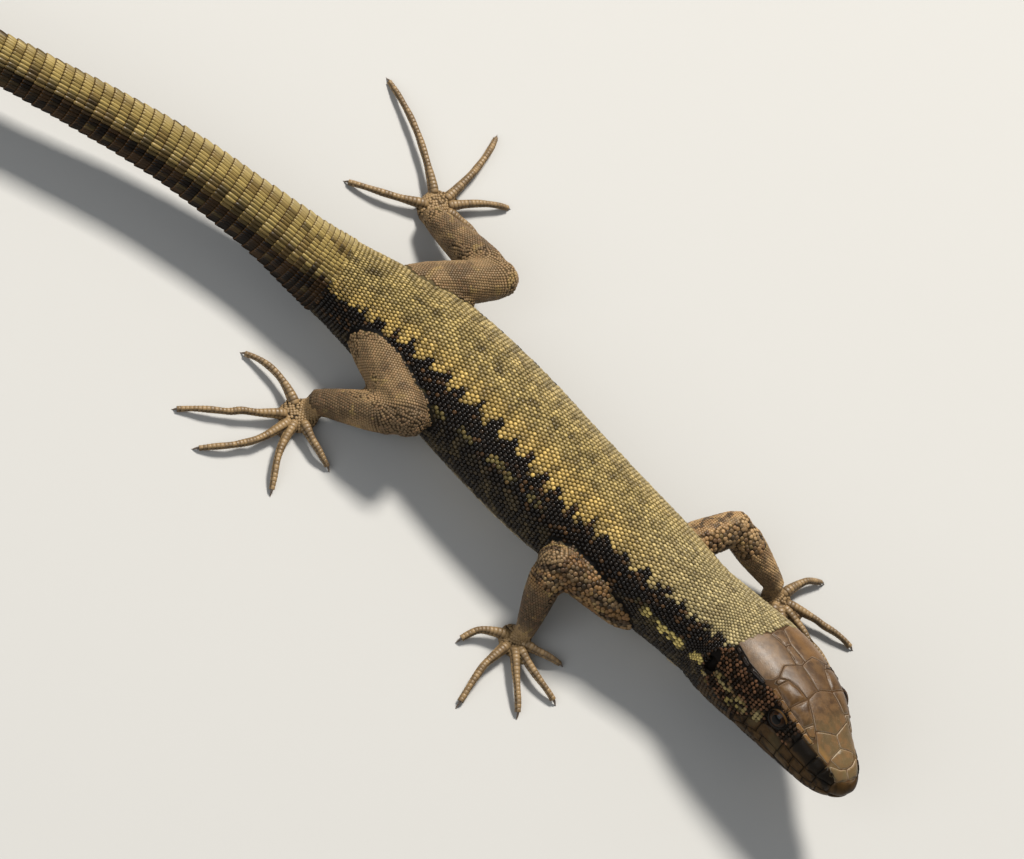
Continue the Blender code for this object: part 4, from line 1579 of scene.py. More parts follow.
class Nodes:
    """Shorthand for making and joining the nodes of one tree."""

    def __init__(self, tree):
        self.tree = tree

    def make(self, kind, values=(), **settings):
        """A new node, with values for its inputs in order or by their names or numbers."""
        node = self.tree.nodes.new(kind)
        for key, value in settings.items():
            setattr(node, key, value)
        for key, value in values.items() if isinstance(values, dict) else enumerate(values):
            self.feed(node.inputs[key], value)
        return node

    def feed(self, socket, value):
        if isinstance(value, Value):
            self.tree.links.new(value.socket, socket)
        elif isinstance(value, tuple) and len(value) == 3 and socket.type == "RGBA":
            socket.default_value = (*value, 1)
        else:
            socket.default_value = value

    def out(self, node, name=0):
        return Value(self, node.outputs[name])

    def math(self, operation, *values):
        return self.out(self.make("ShaderNodeMath", values, operation=operation))

    def most(self, *values):
        return self.math("MAXIMUM", *values)

    def only(self, value, number):
        """1 where a value is a whole number, and 0 elsewhere."""
        return self.math("COMPARE", value, float(number), 0.4)

    def both(self, *shares):
        """The product of several shares."""
        made = shares[0]
        for share in shares[1:]:
            made = made * share
        return made

    def step(self, value, low, high):
        """0 below low, 1 above high and smooth between. Low may be the larger."""
        given = {"Value": value, "From Min": low, "From Max": high}
        return self.out(self.make("ShaderNodeMapRange", given, interpolation_type="SMOOTHSTEP"), "Result")

    def band(self, value, low, high, soft):
        """1 between low and high, fading out over soft on each side."""
        inner = self.step(value, low - soft, low + soft)
        return inner * self.step(value, high + soft, high - soft)

    def curve(self, value, stops, reach):
        """A broken line through stops of (place, height), with heights up to reach."""
        node = self.make("ShaderNodeValToRGB")
        ramp = node.color_ramp
        first, last = stops[0][0], stops[-1][0]
        while len(ramp.elements) < len(stops):
            ramp.elements.new(0.5)
        for element, (place, height) in zip(ramp.elements, stops):
            element.position = (place - first) / (last - first)
            element.color = (height / reach,) * 3 + (1,)
        self.feed(node.inputs[0], (value - first) / (last - first))
        return self.out(node, "Color") * reach

    def mix(self, share, first, second):
        given = {0: share, 6: first, 7: second}
        return self.out(self.make("ShaderNodeMix", given, data_type="RGBA"), 2)

    def shade(self, colour, amount):
        """A colour made darker or lighter."""
        given = {0: colour, "Scale": amount}
        return self.out(self.make("ShaderNodeVectorMath", given, operation="SCALE"))

    def shade_by(self, colour, tint):
        return self.out(self.make("ShaderNodeVectorMath", (colour, tint), operation="MULTIPLY"))

    def noise(self, vector, scale, detail=2.0, roughness=0.5):
        given = {"Vector": vector, "Scale": scale, "Detail": detail, "Roughness": roughness}
        return self.out(self.make("ShaderNodeTexNoise", given), "Fac")

    def joined(self, *values):
        return self.out(self.make("ShaderNodeCombineXYZ", values))

    def parted(self, vector):
        node = self.make("ShaderNodeSeparateXYZ", (vector,))
        return [self.out(node, number) for number in range(3)]

    def value_of(self, name, kind="Vector"):
        return self.out(self.make("ShaderNodeAttribute", attribute_name=name), kind)

    def own_place(self):
        return self.out(self.make("ShaderNodeTexCoord"), "Object")

    def round_spot(self, x, y, centre, radii, soft=0.35):
        """1 inside an oval and 0 outside it."""
        dx, dy = (x - centre[0]) / radii[0], (y - centre[1]) / radii[1]
        return self.step(self.math("SQRT", dx * dx + dy * dy), 1 + soft, 1 - soft)


# In the colours, s is the distance along in millimetres, a the arc from the midline, u that arc
# without its sign and w the share round; on a leg, w is the leg's number.


def body_colour(n, at, tones):
    """The back, the scalloped dark band, the flank and the belly's edge."""
    s, a, u, tone, place = at
    drift = n.noise(place, 0.35)
    grain = n.noise(place, 1.3)
    fine = n.noise(place, 3.1, 1.0)
    sway = n.noise(n.joined(s, n.math("SIGN", a), 0.0), 0.25) * 5.0 - 0.9
    wave = n.math("SINE", s * (2 * pi / 2.1) + sway)
    crest = n.most(wave, 0.0)
    reach = 0.35 + n.step(s, 28.0, 36.0) * (n.step(s, 66.0, 60.0) * 0.75)
    edge = n.curve(s, BAND_TOP, 6.0) + n.step(a, 0.0, 0.5) * 1.7
    ragged = (grain - 0.5) * (1.2 + n.step(s, 34.0, 26.0) * 2.4) + (tone - 0.5) * 0.55
    line = edge - crest * reach + ragged
    dark = n.step(u, line - 0.18, line + 0.26)
    # The back: gold beside the band, greyer olive on the neck, and paler olive to the left that is painted
    # sheen, with bars and spots
    gold = n.step(u, 1.2, 3.6)
    back = n.mix(gold, tones.spine, tones.back)
    neck_olive_and_left_sheen = n.most(n.step(s, 36.0, 20.0), n.step(a, 0.5, 4.0) * 0.75)
    back = n.mix(neck_olive_and_left_sheen, back, tones.neck)
    back = n.mix(n.step(drift, 0.35, 0.7), back, n.shade(back, 0.84))
    bars = n.both(n.step(wave, 0.1, 0.9), n.step(u, 0.6, 2.4), n.step(s, 30.0, 38.0), n.step(s, 68.0, 62.0))
    back = n.mix(bars * 0.6, back, n.shade(back, 0.45))
    back = n.mix(n.step(fine, 0.52, 0.66) * 0.5, back, n.shade(back, 0.5))
    clouds = n.both(n.step(n.noise(place, 0.75), 0.5, 0.6), n.step(u, 3.4, 1.6), n.step(s, 28.0, 36.0), 0.4)
    back = n.mix(clouds, back, n.shade(back, 0.5))
    streaks = n.noise(n.joined(s * 0.6, a * 1.5, 5.0), 1.0)
    back = n.mix(n.step(streaks, 0.48, 0.66) * 0.55, back, n.shade(tones.moss, 1.7))
    beat = n.math("FLOORED_MODULO", s + 0.55, 2.35) - 1.17
    wander = 0.25 + (n.noise(n.joined(s, 3.0, 0.0), 0.2) - 0.5) * 3.0
    frayed = (grain - 0.5) * 1.8
    spots = n.round_spot(beat + frayed, a - wander + frayed, (0.0, 0.0), (0.78, 0.5), 0.45)
    spots = n.both(spots, n.step(s, 30.0, 42.0), n.step(s, 78.0, 72.0), n.step(drift, 0.38, 0.5))
    back = n.mix(spots * 0.6, back, tones.band)
    # The band, with warm scales in it
    warm = n.both(n.step(fine, 0.5, 0.62), n.step(tone, 0.35, 0.6))
    band = n.mix(warm * 0.55, tones.band, tones.rust)
    # The flank, with the lines of yellow flecks
    blotch = n.step(n.noise(place, 0.62), 0.50, 0.62)
    flank = n.mix(blotch * 0.7, tones.flank, tones.moss)
    flank = n.mix(n.step(tone, 0.55, 0.9) * 0.3, flank, tones.moss)
    below = n.step(u, edge + 2.3, edge + 3.2)
    side = n.mix(below, band, flank)
    stripe_at = u - (7.25 + (drift - 0.5) * 1.6)
    stripe = n.both(
        n.step(abs(stripe_at), 0.42, 0.24),
        n.step(n.noise(n.joined(s, 7.0, n.math("SIGN", a)), 0.8), 0.47, 0.54),
        n.band(s, 37.0, 55.0, 1.5),
    )
    neck_line = u - (6.85 + (grain - 0.5) * 0.8)
    neck = n.both(
        n.step(abs(neck_line), 0.55, 0.3),
        n.band(s, 17.6, 26.2, 0.6),
        n.step(n.noise(n.joined(s, 2.0, n.math("SIGN", a)), 0.55), 0.40, 0.48),
    )
    flecks = n.most(stripe * 0.22, neck * n.step(tone, 0.05, 0.4))
    side = n.mix(flecks, side, tones.yellow)
    colour = n.mix(dark, back, side)
    low = n.step(u + (n.noise(place, 0.9) - 0.5) * 3.0, 11.6, 13.6)
    return n.mix(low, colour, tones.belly), dark


def tail_colour(n, at, tones, ring, rise):
    """Olive above and dark below, with golden ticks between and rust-brown edges to the plates."""
    s, a, u, _, place = at
    edge = n.curve(s, BAND_TOP, 6.0) + n.step(a, 0.0, 0.5) * 0.9
    grain = n.noise(place, 0.7)
    upper = n.mix(n.step(grain, 0.42, 0.66), tones.tail, tones.tail_dark)
    # Paler olive to the left: painted sheen.
    upper = n.mix(n.step(a, 0.4, 2.4) * 0.8, upper, tones.neck)
    line = n.step(abs(a - 0.15), 0.75, 0.3)
    middle = n.both(line, n.step(s, 78.0, 70.0), 1.0 - ring, n.step(grain, 0.4, 0.52))
    upper = n.mix(middle * 0.7, upper, tones.band)
    lower = n.mix(n.step(n.noise(place, 0.8), 0.45, 0.62), tones.band, tones.tail_low)
    start = edge - (0.35 + (1.0 - ring) * 0.4 + (grain - 0.5) * 1.8)
    dark = n.step(u, start - 0.3, start + 0.6)
    colour = n.mix(dark, upper, lower)
    ticks = n.both(n.band(u, edge - 0.4, edge + 0.55, 0.2), n.step(s, 68.0, 71.0), 0.5 + ring * 0.5)
    low_ticks = n.both(n.band(u, edge + 1.5, edge + 2.1, 0.3), ring, n.step(grain, 0.45, 0.6), 0.5)
    ticks = n.most(ticks, low_ticks)
    colour = n.mix(ticks * 0.3, colour, tones.cream)
    plain = n.mix(n.step(n.noise(place, 0.7), 0.4, 0.6), tones.tail, tones.tail_low)
    colour = n.mix(n.step(s, 96.0, 125.0) * 0.6, colour, plain)
    # Rust-brown rear edges of the plates: partly their own colour, partly painted shade between the whorls,
    # and cream in the ticks.
    rear_edge_and_shade = n.mix(dark, n.shade(tones.rust, 0.9), tones.rust)
    rear_edge_and_shade = n.mix(ticks * 0.85, rear_edge_and_shade, tones.cream)
    return n.mix(n.step(rise, 0.68, 0.4) * 0.8, colour, rear_edge_and_shade)


def head_colours(n, at, tones, rise, order):
    """The crown's shields, the temples, and the lips, by turns."""
    s, a, u, tone, place = at
    coarse = n.noise(place, 1.1, 3.0, 0.6)
    fine = n.noise(place, 4.5, 3.0, 0.65)
    crown = n.mix(n.step(coarse, 0.36, 0.64), tones.shield, tones.shield_dark)
    crown = n.mix(n.step(fine, 0.55, 0.75) * 0.5, crown, tones.shield_dark)
    crown = n.mix(n.step(fine, 0.45, 0.3) * 0.35, crown, tones.shield_light)
    # A pale pinkish patch on the right parietal: painted sheen.
    rosy = n.both(n.step(s, 10.8, 12.2), n.step(u, 0.6, 1.6), n.step(a, 0.5, -0.5))
    crown = n.mix(rosy * 0.22, crown, tones.seam)
    amber = n.both(n.step(s, 10.8, 12.2), n.step(a, 0.6, 1.6))
    crown = n.mix(amber * 0.4, crown, tones.amber)
    bank = n.curve(s, CROWN_BANK, 6.0)
    rim = n.both(n.step(u, bank - 0.75, bank - 0.3), n.step(s, 2.0, 3.0), n.step(s, 11.5, 10.0))
    crown = n.mix(rim * 0.75, crown, tones.amber)
    crown = n.mix(n.both(n.step(u, bank - 0.12, bank + 0.05), n.step(s, 0.6, 1.2), 0.9), crown, tones.night)
    crown = n.mix(n.step(s, 2.4, 1.2) * 0.5, crown, tones.moss)
    seams = n.both(n.step(rise, 0.55, 0.1), n.step(coarse, 0.25, 0.6), n.step(tone, -0.15, -0.05))
    crown = n.mix(n.step(tone, -0.05, -0.15), crown, tones.shield_dark)
    crown = n.mix(seams * 0.85, crown, tones.seam)
    # Rosy crowns on some temple beads: partly their own tint, partly painted highlight.
    speck = n.step(tone, 0.3, 0.8)
    temple = n.mix(n.both(speck, n.step(rise, 0.4, 1.0), 0.6), n.shade(tones.rust, 0.1), tones.rose)
    pale = n.round_spot(s, u, (11.2, 8.1), (0.75, 0.6))
    for centre, radii in (
        ((12.2, 8.9), (0.35, 0.5)),
        ((13.5, 8.0), (1.1, 0.4)),
        ((16.0, 9.9), (1.2, 0.45)),
        ((9.3, 7.3), (0.5, 0.9)),
    ):
        pale = n.most(pale, n.round_spot(s, u, centre, radii))
    pale = pale * n.step(tone + fine, 0.62, 0.8)
    fleck = n.mix(n.step(fine, 0.4, 0.6), n.shade(tones.yellow, 0.45), n.shade(tones.neck, 0.9))
    temple = n.mix(pale * 0.85, temple, fleck)
    # The lips are dark, and the lower lip takes only a trace of the belly's pale: partly their own colour,
    # partly painted shade under the head.
    lip = n.mix(n.step(coarse, 0.42, 0.66), tones.lip, n.shade(tones.lip, 0.3))
    lower = n.both(
        n.step(u, n.curve(s, MOUTH_LINE, 12.0) + 0.1, n.curve(s, MOUTH_LINE, 12.0) + 0.9),
        n.step(n.noise(place, 0.9), 0.62, 0.42),
    )
    lip = n.mix(lower * 0.06, lip, tones.belly)
    streak = n.most(n.round_spot(s, u, (6.7, 7.0), (0.8, 0.9)), n.round_spot(s, u, (9.6, 7.6), (0.6, 1.0)))
    lip = n.mix(streak * 0.6, lip, tones.moss)
    canthus = n.curve(s, ((0, 1.0), (2.2, 2.1), (5.2, 3.4), (8, 4.3), (11, 4.9)), 6.0)
    stripe = n.both(
        n.step(u, canthus, canthus + 0.25),
        n.step(u, canthus + 1.9, canthus + 1.1),
        n.step(s, 0.6, 1.1),
        n.step(s, 10.5, 9.0),
    )
    lip = n.mix(stripe * 0.92, lip, tones.night)
    temple = n.mix(stripe * n.step(s, 9.0, 7.6) * 0.8, temple, tones.night)
    lid = n.both(n.step(order, 0.77, 0.79), n.step(rise, 0.5, 0.9), n.step(order, 0.83, 0.81))
    lip = n.mix(n.step(order, 0.77, 0.79), lip, tones.night)
    lip = n.mix(n.both(lid, n.step(u, 5.3, 4.5), 0.35), lip, tones.amber)
    front = n.both(n.step(s, 7.0, 5.0), n.step(coarse, 0.35, 0.6), 0.3)
    crown = n.mix(front, crown, n.shade(tones.neck, 0.5))
    warmed = n.both(n.step(s, 7.0, 8.0), n.step(s, 11.0, 10.2), 0.3)
    crown = n.mix(warmed, crown, n.shade(tones.amber, 0.55))
    # The crown paler at the snout and darker over its middle: partly its own tones, partly painted light
    # and shade.
    return n.shade(crown, n.curve(s, CROWN_LIGHT, 2.0)), temple, lip


def belly_colour(n, at, tones, w):
    """Pale with dark specks, and dark like the lips on the sides of the throat."""
    s, _, _, _, place = at
    grain = n.noise(place, 0.8)
    belly = n.mix(n.step(grain, 0.55, 0.68) * 0.75, tones.belly, tones.band)
    shaded_side = n.step(abs(w), 0.93, 0.8) * n.step(s, 22.0, 19.0)
    return n.mix(shaded_side, belly, n.mix(n.step(grain, 0.4, 0.6), tones.lip, tones.flank))


def leg_colours(n, at, tones, w, third):
    """The legs, and the toes with paler pads."""
    s, a, _, tone, place = at
    leg_noise = n.noise(place, 0.62, 2.5)
    hind = n.step(w, 1.3, 1.7)
    blotches = n.step(leg_noise, 0.45, 0.62) * (1.0 - hind * 0.6)
    # The near forearm is darker, partly its own dark and partly painted shade; the far front arm is painted
    # lighter.
    far_arm_lit = n.only(w, LEGS.index("front_left"))
    forearm_dark_and_shade = n.both(1.0 - hind, n.step(s, 7.0, 9.0), n.step(s, 12.4, 11.0), 1.0 - far_arm_lit)
    leg = n.mix(blotches * 0.7, tones.leg, tones.leg_dark)
    leg = n.mix(forearm_dark_and_shade * 0.75, leg, n.shade(tones.leg_dark, 0.75))
    # The near hind shin darkened: painted shade.
    shin = n.both(hind, n.step(s, 8.0, 10.0), n.step(s, 19.0, 17.0))
    near_shin_shade = shin * n.only(w, LEGS.index("hind_right"))
    leg = n.mix(near_shin_shade * 0.75, leg, tones.leg_dark)
    mottle = n.step(n.noise(n.joined(s, a * 0.8, w * 9.0), 0.34, 3.0), 0.46, 0.56)
    leg = n.mix(mottle * 0.62, leg, tones.leg_dark)
    on_arm = (1.0 - hind) * n.step(s, 8.5, 7.0)
    upper_arm = on_arm * n.step(n.noise(n.joined(a, s, 8.0), 0.8, 1.0), 0.56, 0.46)
    leg = n.mix(upper_arm * (0.5 - far_arm_lit * 0.3), leg, tones.amber)
    crescents = on_arm * n.step(n.noise(n.joined(s, a * 1.3, 60.0), 1.0, 1.0), 0.52, 0.6)
    leg = n.mix(crescents * 0.8, leg, n.shade(tones.leg_dark, 0.3))
    # The far front arm made lighter: painted light.
    leg = n.shade(leg, 1.0 + far_arm_lit * 0.6)
    pale_spots = n.step(n.noise(n.joined(a, s, 40.0), 0.75, 1.0), 0.62, 0.68)
    leg = n.mix(pale_spots * 0.4, leg, tones.cream)
    leg = n.mix(n.step(tone, 0.5, 1.0) * 0.25, leg, tones.rose)
    toe = n.mix(n.step(tone + leg_noise * 1.2, 0.75, 1.35) * 0.65, tones.toe, tones.leg_dark)
    return leg, n.mix(third * 0.6, toe, tones.cream)


def markings():
    """One group for skin and scales, which gives the colour at each place on the animal."""
    looks = bpy.context.scene.lizard_looks
    tones = SimpleNamespace(**{name: tuple(getattr(looks, name)) for name in COLOURS})
    tree = bpy.data.node_groups.new("wall lizard markings", "ShaderNodeTree")
    tree.interface.new_socket("Colour", in_out="OUTPUT", socket_type="NodeSocketColor")
    tree.interface.new_socket("Height", in_out="OUTPUT", socket_type="NodeSocketFloat")
    n = Nodes(tree)
    lie, mark = n.value_of("lie"), n.value_of("mark")
    rise = n.value_of("rise", "Fac")
    s, a, w = n.parted(lie)
    zone, tone, third = n.parted(mark)
    u = abs(a)
    place = n.joined(s, a, zone * 7.0)
    at = (s, a, u, tone, place)
    body, dark = body_colour(n, at, tones)
    # Each back scale paler in its middle and darker at its rim: partly pale keels, partly painted glints.
    centre = n.step(rise, 0.6, 1.0)
    body = n.shade(body, 0.84 - dark * 0.1 + centre * (0.1 + tone * 0.5))
    tail = tail_colour(n, at, tones, third, rise)
    crown, temple, lip = head_colours(n, at, tones, rise, tone)
    belly = belly_colour(n, at, tones, w)
    leg, toe = leg_colours(n, at, tones, w, third)
    colour = body
    for number, found in enumerate((tail, belly, crown, temple, lip, leg, toe), 1):
        colour = n.mix(n.only(zone, number), colour, found)
    each = 0.82 + tone * 0.36
    each = n.mix(n.only(zone, ZONE["shield"]), each, (1.0, 1.0, 1.0))
    shaded = n.shade_by(colour, each)
    # Darker towards each scale's buried rim and on the bare skin between scales: painted shade in the gaps,
    # half as strong on the toes and none on the shields.
    gaps = 0.42 + n.step(rise, 0.0, 0.6) * 0.58
    gaps = n.mix(n.only(zone, ZONE["shield"]), gaps, (1.0, 1.0, 1.0))
    gaps = n.mix(n.step(zone, 6.4, 6.6) * 0.5, gaps, (1.0, 1.0, 1.0))
    shaded = n.shade_by(shaded, gaps)
    out = n.make("NodeGroupOutput")
    n.feed(out.inputs["Colour"], shaded)
    n.feed(out.inputs["Height"], n.noise(place, 9.0, 3.0, 0.6))
    return tree


def plain_finish(name, roughness, coat=0.0, specular=0.5):
    material = bpy.data.materials.new(name)
    material.use_nodes = True
    n = Nodes(material.node_tree)
    shader = material.node_tree.nodes["Principled BSDF"]
    shader.inputs["Roughness"].default_value = roughness
    shader.inputs["Specular IOR Level"].default_value = specular
    shader.inputs["Coat Weight"].default_value = coat
    shader.inputs["Coat Roughness"].default_value = 0.25
    return material, n, shader


def scaled_finish(name, group, roughness, coat, bump, specular):
    """A finish of the shared markings, with a fine grain of its own."""
    material, n, shader = plain_finish(name, roughness, coat, specular)
    shared = n.make("ShaderNodeGroup", node_tree=group)
    n.feed(shader.inputs["Base Color"], n.out(shared, "Colour"))
    grain = n.out(shared, "Height")
    rough = n.step(grain, 0.2, 0.8)
    n.feed(shader.inputs["Roughness"], (roughness - 0.08) + rough * 0.16)
    lift = n.make("ShaderNodeBump")
    lift.inputs["Strength"].default_value = bump
    lift.inputs["Distance"].default_value = 0.03 * MM
    n.feed(lift.inputs["Height"], grain)
    n.feed(shader.inputs["Normal"], n.out(lift, "Normal"))
    return material


def eye_finish():
    """A round dark pupil, a coppery iris paler at its inner edge, and a dark rim."""
    looks = bpy.context.scene.lizard_looks
    material, n, shader = plain_finish("eye", 0.08, 0.0, 0.12)
    shader.inputs["Coat Roughness"].default_value = 0.03
    gaze = n.value_of("gaze", "Fac")
    flecks = n.noise(n.own_place(), 9000.0, 3.0)
    iris = n.mix(n.step(flecks, 0.4, 0.65), tuple(looks.iris), tuple(v * 0.35 for v in looks.iris))
    ring = n.both(n.step(gaze, 0.108, 0.114), n.step(gaze, 0.130, 0.118))
    iris = n.mix(ring * 0.5, iris, tuple(min(1.0, v * 2.6) for v in looks.iris))
    iris = n.mix(n.step(gaze, 0.15, 0.215), iris, (0.010, 0.007, 0.005))
    colour = n.mix(n.step(gaze, 0.114, 0.106), iris, (0.002, 0.002, 0.002))
    n.feed(shader.inputs["Base Color"], colour)
    return material


def claw_finish():
    """Horn: dark brown at the root and paler, almost clear, at the point."""
    material, n, shader = plain_finish("claw", 0.3, 0.4)
    rise = n.value_of("rise", "Fac")
    grain = n.noise(n.own_place(), 6000.0)
    colour = n.mix(n.step(rise, 0.15, 0.95), (0.045, 0.028, 0.017), (0.16, 0.10, 0.06))
    n.feed(shader.inputs["Base Color"], n.mix(grain * 0.4, colour, (0.03, 0.02, 0.012)))
    return material


def floor_finish():
    material, n, shader = plain_finish("floor", 0.75)
    grain = n.noise(n.own_place(), 260.0, 3.0)
    tone = tuple(bpy.context.scene.lizard_stage.floor)
    n.feed(shader.inputs["Base Color"], n.mix(grain * 0.12, tone, tuple(v * 0.93 for v in tone)))
    return material


# Roughness, coat, bump and specular of each finish of the shared markings
FINISHES = {
    "skin": (0.7, 0.0, 0.3, 0.1),
    "back_scales": (0.32, 0.0, 0.3, 0.2),
    "tail_scales": (0.38, 0.0, 0.35, 0.18),
    "head_shields": (0.34, 0.03, 0.9, 0.2),
    "face_scales": (0.4, 0.0, 0.5, 0.09),
    "throat_scales": (0.42, 0.0, 0.25, 0.25),
    "leg_scales": (0.46, 0.0, 0.3, 0.25),
    "toe_scutes": (0.45, 0.0, 0.3, 0.4),
}


def finishes():
    """All the finishes by name, made once."""
    if not WORK.finishes:
        group = markings()
        made = {name: scaled_finish(name, group, *values) for name, values in FINISHES.items()}
        made |= {"eye": eye_finish(), "claw": claw_finish(), "floor": floor_finish()}
        WORK.finishes = made
    return WORK.finishes


COLOURS = {
    "back": ((0.360, 0.240, 0.068), "gold-olive of the back beside the band"),
    # The neck's olive also paints the sheen on the left of the back and tail.
    "spine": ((0.300, 0.218, 0.075), "paler olive along the spine"),
    "neck": ((0.295, 0.232, 0.108), "greyer olive of the neck and the left side"),
    "band": ((0.008, 0.005, 0.003), "dark band along the flank"),
    "rust": ((0.095, 0.045, 0.014), "orange-brown scales in the band"),
    "flank": ((0.012, 0.008, 0.005), "dark flank under the band"),
    "moss": ((0.060, 0.042, 0.018), "greenish grey spots of the flank"),
    "yellow": ((0.460, 0.350, 0.110), "yellow flecks of the neck and flank"),
    "belly": ((0.500, 0.400, 0.250), "belly and throat"),
    "tail": ((0.275, 0.200, 0.066), "top of the tail"),
    "tail_dark": ((0.150, 0.100, 0.032), "darker scales on top of the tail"),
    "tail_low": ((0.034, 0.018, 0.007), "mottling of the tail's sides"),
    "cream": ((0.350, 0.240, 0.080), "pale spots of the tail and legs"),
    "shield": ((0.128, 0.070, 0.029), "crown shields"),
    "shield_dark": ((0.058, 0.030, 0.013), "dark mottling of the crown"),
    "shield_light": ((0.175, 0.112, 0.060), "light mottling of the crown"),
    # Pale seams between the shields, also used for the painted sheen on the right parietal.
    "seam": ((0.330, 0.250, 0.180), "seams between the shields"),
    "amber": ((0.210, 0.100, 0.026), "amber edges of the crown and lids"),
    "night": ((0.007, 0.005, 0.003), "dark stripe through the eye"),
    # Painted highlight on the temple beads, and a rosy tint on the legs.
    "rose": ((0.170, 0.080, 0.038), "rosy light on the temple scales"),
    # The lips' tone is partly painted shade under the head.
    "lip": ((0.050, 0.026, 0.008), "lip shields"),
    "leg": ((0.220, 0.140, 0.064), "legs"),
    "leg_dark": ((0.060, 0.037, 0.018), "blotches of the legs"),
    "toe": ((0.275, 0.176, 0.080), "toes"),
    # The iris is near black: partly its own dark copper, partly painted shade over the eye.
    "iris": ((0.026, 0.011, 0.004), "iris of the eye"),
}


# -------- settings, operators, panel


def colour_property(name, default, description):
    return FloatVectorProperty(
        name=name, description=description, default=default, size=3, min=0.0, max=1.0, subtype="COLOR"
    )


class LizardSizes(bpy.types.PropertyGroup):
    """Sizes of the skin and its scales."""

    skin_depth: FloatProperty(
        name="Scale depth",
        description="How far the skin lies inside the outline, in millimetres",
        default=0.12,
        min=0.05,
        max=0.4,
    )
    skin_voxel: FloatProperty(
        name="Skin detail",
        description="Size of the skin's mesh cells, in millimetres",
        default=0.21,
        min=0.15,
        max=0.6,
    )
    scale_pitch: FloatProperty(
        name="Scale rows",
        description="Distance between the rows of back scales, in millimetres",
        default=0.37,
        min=0.3,
        max=0.8,
    )
    scale_columns: IntProperty(
        name="Scales across",
        description="Number of scales across the back and flanks",
        default=62,
        min=30,
        max=90,
    )


LizardLooks = type(
    "LizardLooks",
    (bpy.types.PropertyGroup,),
    {
        "__doc__": "Colours of the animal.",
        "__annotations__": {
            key: colour_property(key.replace("_", " ").capitalize(), default, f"Colour of the {text}")
            for key, (default, text) in COLOURS.items()
        },
    },
)


class LizardStage(bpy.types.PropertyGroup):
    """The floor, the lights and the camera."""

    floor: colour_property("Floor", (0.42, 0.412, 0.395), "Colour of the floor")
    key_power: FloatProperty(
        name="Main light", description="Power of the main light", default=17.5, min=0.0, unit="POWER"
    )
    fill: FloatProperty(
        name="Fill light", description="Strength of the even light from all round", default=0.25, min=0.0
    )
    distance: FloatProperty(
        name="Camera distance",
        description="Distance from the camera to the animal",
        default=0.9,
        min=0.1,
        unit="LENGTH",
    )
    lens: FloatProperty(
        name="Lens", description="Focal length of the camera, in millimetres", default=351.2, min=10.0
    )


class LIZARD_OT_skin(bpy.types.Operator):
    """One skin over all the solids of flesh"""

    bl_idname = "lizard.skin"
    bl_label = "Skin"

    def execute(self, context):
        sizes = context.scene.lizard_sizes
        prepare_skin(sizes.skin_depth, sizes.skin_voxel)
        WORK.mouth = find_mouth()
        return {"FINISHED"}


class LIZARD_OT_back(bpy.types.Operator):
    """Rows of small scales over the neck, back and flanks"""

    bl_idname = "lizard.back"
    bl_label = "Back scales"

    def execute(self, context):
        sizes = context.scene.lizard_sizes
        back_scales(sizes.scale_columns, sizes.scale_pitch)
        return {"FINISHED"}


class LIZARD_OT_tail(bpy.types.Operator):
    """Whorls of keeled plates round the tail"""

    bl_idname = "lizard.tail"
    bl_label = "Tail scales"

    def execute(self, context):
        tail_scales()
        return {"FINISHED"}


class LIZARD_OT_underside(bpy.types.Operator):
    """Belly plates, collar and throat scales"""

    bl_idname = "lizard.underside"
    bl_label = "Belly and throat"

    def execute(self, context):
        belly_plates()
        throat_scales()
        return {"FINISHED"}


class LIZARD_OT_head(bpy.types.Operator):
    """Shields of the crown, lips and chin, and the beads of the temples"""

    bl_idname = "lizard.head"
    bl_label = "Head shields"

    def execute(self, context):
        head_shields()
        lip_shields()
        temple_scales()
        ear_rims()
        return {"FINISHED"}


class LIZARD_OT_eyes(bpy.types.Operator):
    """Eyeballs and eyelids"""

    bl_idname = "lizard.eyes"
    bl_label = "Eyes"

    def execute(self, context):
        eye_pieces()
        return {"FINISHED"}


class LIZARD_OT_legs(bpy.types.Operator):
    """Scales of the legs and feet, toe plates and claws"""

    bl_idname = "lizard.legs"
    bl_label = "Legs and toes"

    def execute(self, context):
        leg_scales()
        toe_scales()
        claws()
        return {"FINISHED"}


class LIZARD_OT_stage(bpy.types.Operator):
    """Plain floor, soft light and the camera"""

    bl_idname = "lizard.stage"
    bl_label = "Stage"

    def execute(self, context):
        make_stage(context.scene.lizard_stage)
        return {"FINISHED"}


def area_light(name, place, target, size, power, colour):
    light = bpy.data.lights.new(name, "AREA")
    light.size = size
    light.energy = power
    light.color = colour
    made = placed(name, light)
    made.location = place
    made.rotation_euler = (Vector(target) - Vector(place)).to_track_quat("-Z", "Y").to_euler()
    return made


def make_floor(reach):
    mesh = bpy.data.meshes.new("floor")
    corners = ((-reach, -reach, 0), (reach, -reach, 0), (reach, reach, 0), (-reach, reach, 0))
    mesh.from_pydata(corners, [], [(0, 1, 2, 3)])
    floor = placed("floor", mesh)
    floor.data.materials.append(finishes()["floor"])


def make_stage(stage):
    make_floor(1.5)
    target = Vector(LOOKED_AT)
    side = radians(SUN_SIDE)
    for name, away, size, power, colour in (
        (
            "main light",
            (cos(side) * 0.57, sin(side) * 0.57, 0.83),
            0.22,
            stage.key_power,
            (1.0, 0.965, 0.9),
        ),
        ("soft light", (-0.3, -0.9, 0.7), 0.8, stage.key_power * 0.35, (0.9, 0.95, 1.0)),
    ):
        area_light(name, target + Vector(away), target, size, power, colour)
    world = bpy.data.worlds.new("studio")
    world.use_nodes = True
    background = world.node_tree.nodes["Background"]
    background.inputs["Color"].default_value = (0.93, 0.96, 1.0, 1)
    background.inputs["Strength"].default_value = stage.fill
    bpy.context.scene.world = world
    bpy.context.scene.view_settings.view_transform = "Standard"
    make_camera(stage, target)


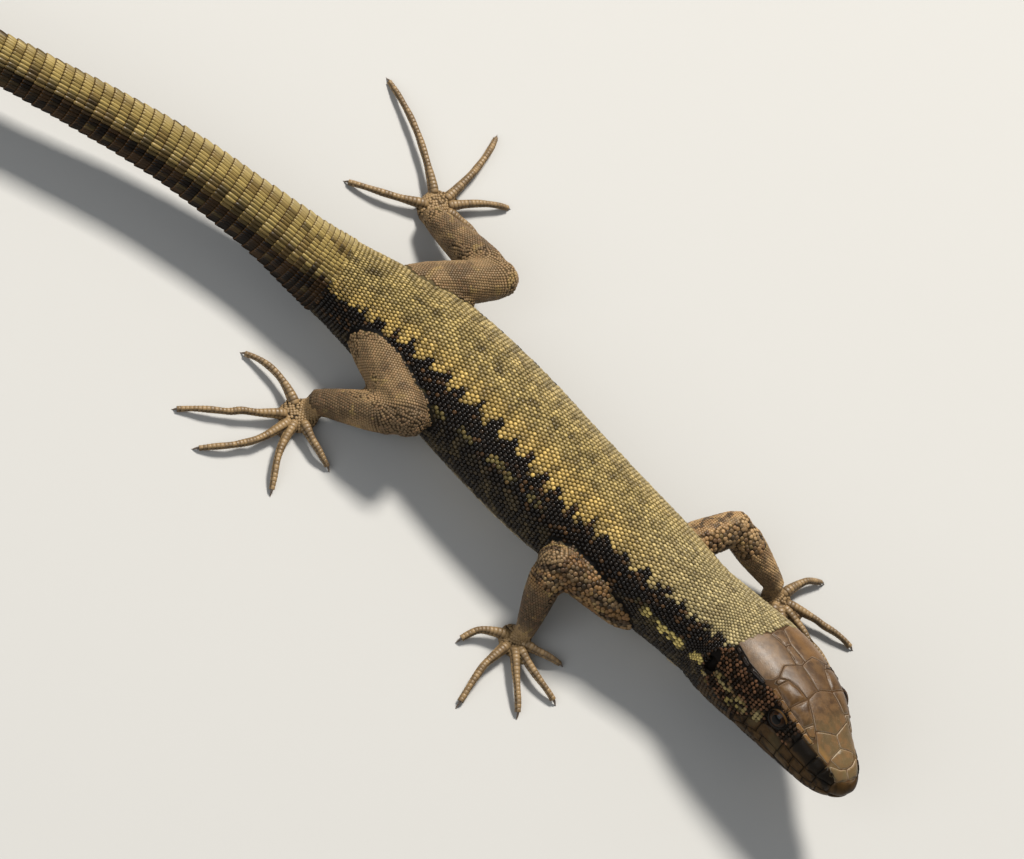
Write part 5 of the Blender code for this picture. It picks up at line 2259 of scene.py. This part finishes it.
def make_camera(stage, target):
    """The camera, tipped down by its elevation and then turned about its own axis."""
    elevation = radians(CAMERA_ELEVATION)
    ahead = Vector((0, cos(elevation), -sin(elevation)))
    above = Vector((0, sin(elevation), cos(elevation)))
    turned = radians(CAMERA_TURN)
    right = Vector((cos(turned), 0, 0)) + above * sin(turned)
    up = above * cos(turned) - Vector((sin(turned), 0, 0))
    data = bpy.data.cameras.new("camera")
    data.lens = stage.lens
    data.sensor_width = 36.0
    data.clip_start, data.clip_end = 0.01, 10.0
    camera = placed("camera", data)
    turn = Matrix((right, up, -ahead)).transposed().to_4x4()
    camera.matrix_world = Matrix.Translation(target - ahead * stage.distance) @ turn
    bpy.context.scene.camera = camera


OPERATORS = (
    LIZARD_OT_skin, LIZARD_OT_eyes, LIZARD_OT_head, LIZARD_OT_back, LIZARD_OT_tail,
    LIZARD_OT_underside, LIZARD_OT_legs, LIZARD_OT_stage,
)


class LIZARD_PT_panel(bpy.types.Panel):
    bl_idname = "LIZARD_PT_panel"
    bl_label = "Wall lizard"
    bl_space_type = "VIEW_3D"
    bl_region_type = "UI"
    bl_category = "Lizard"

    def draw(self, context):
        layout = self.layout
        for group in ("lizard_sizes", "lizard_looks", "lizard_stage"):
            box = layout.box()
            settings = getattr(context.scene, group)
            for key in settings.__annotations__:
                box.prop(settings, key)
        for operator in OPERATORS:
            layout.operator(operator.bl_idname)


GROUPS = (("lizard_sizes", LizardSizes), ("lizard_looks", LizardLooks), ("lizard_stage", LizardStage))


def register():
    for key, group in GROUPS:
        bpy.utils.register_class(group)
        setattr(bpy.types.Scene, key, PointerProperty(type=group))
    for kind in (*OPERATORS, LIZARD_PT_panel):
        bpy.utils.register_class(kind)


def unregister():
    for kind in reversed((*OPERATORS, LIZARD_PT_panel)):
        bpy.utils.unregister_class(kind)
    for key, group in GROUPS:
        delattr(bpy.types.Scene, key)
        bpy.utils.unregister_class(group)


def main():
    register()
    for operator in OPERATORS:
        family, action = operator.bl_idname.split(".")
        getattr(getattr(bpy.ops, family), action)()


if __name__ == "__main__":
    main()
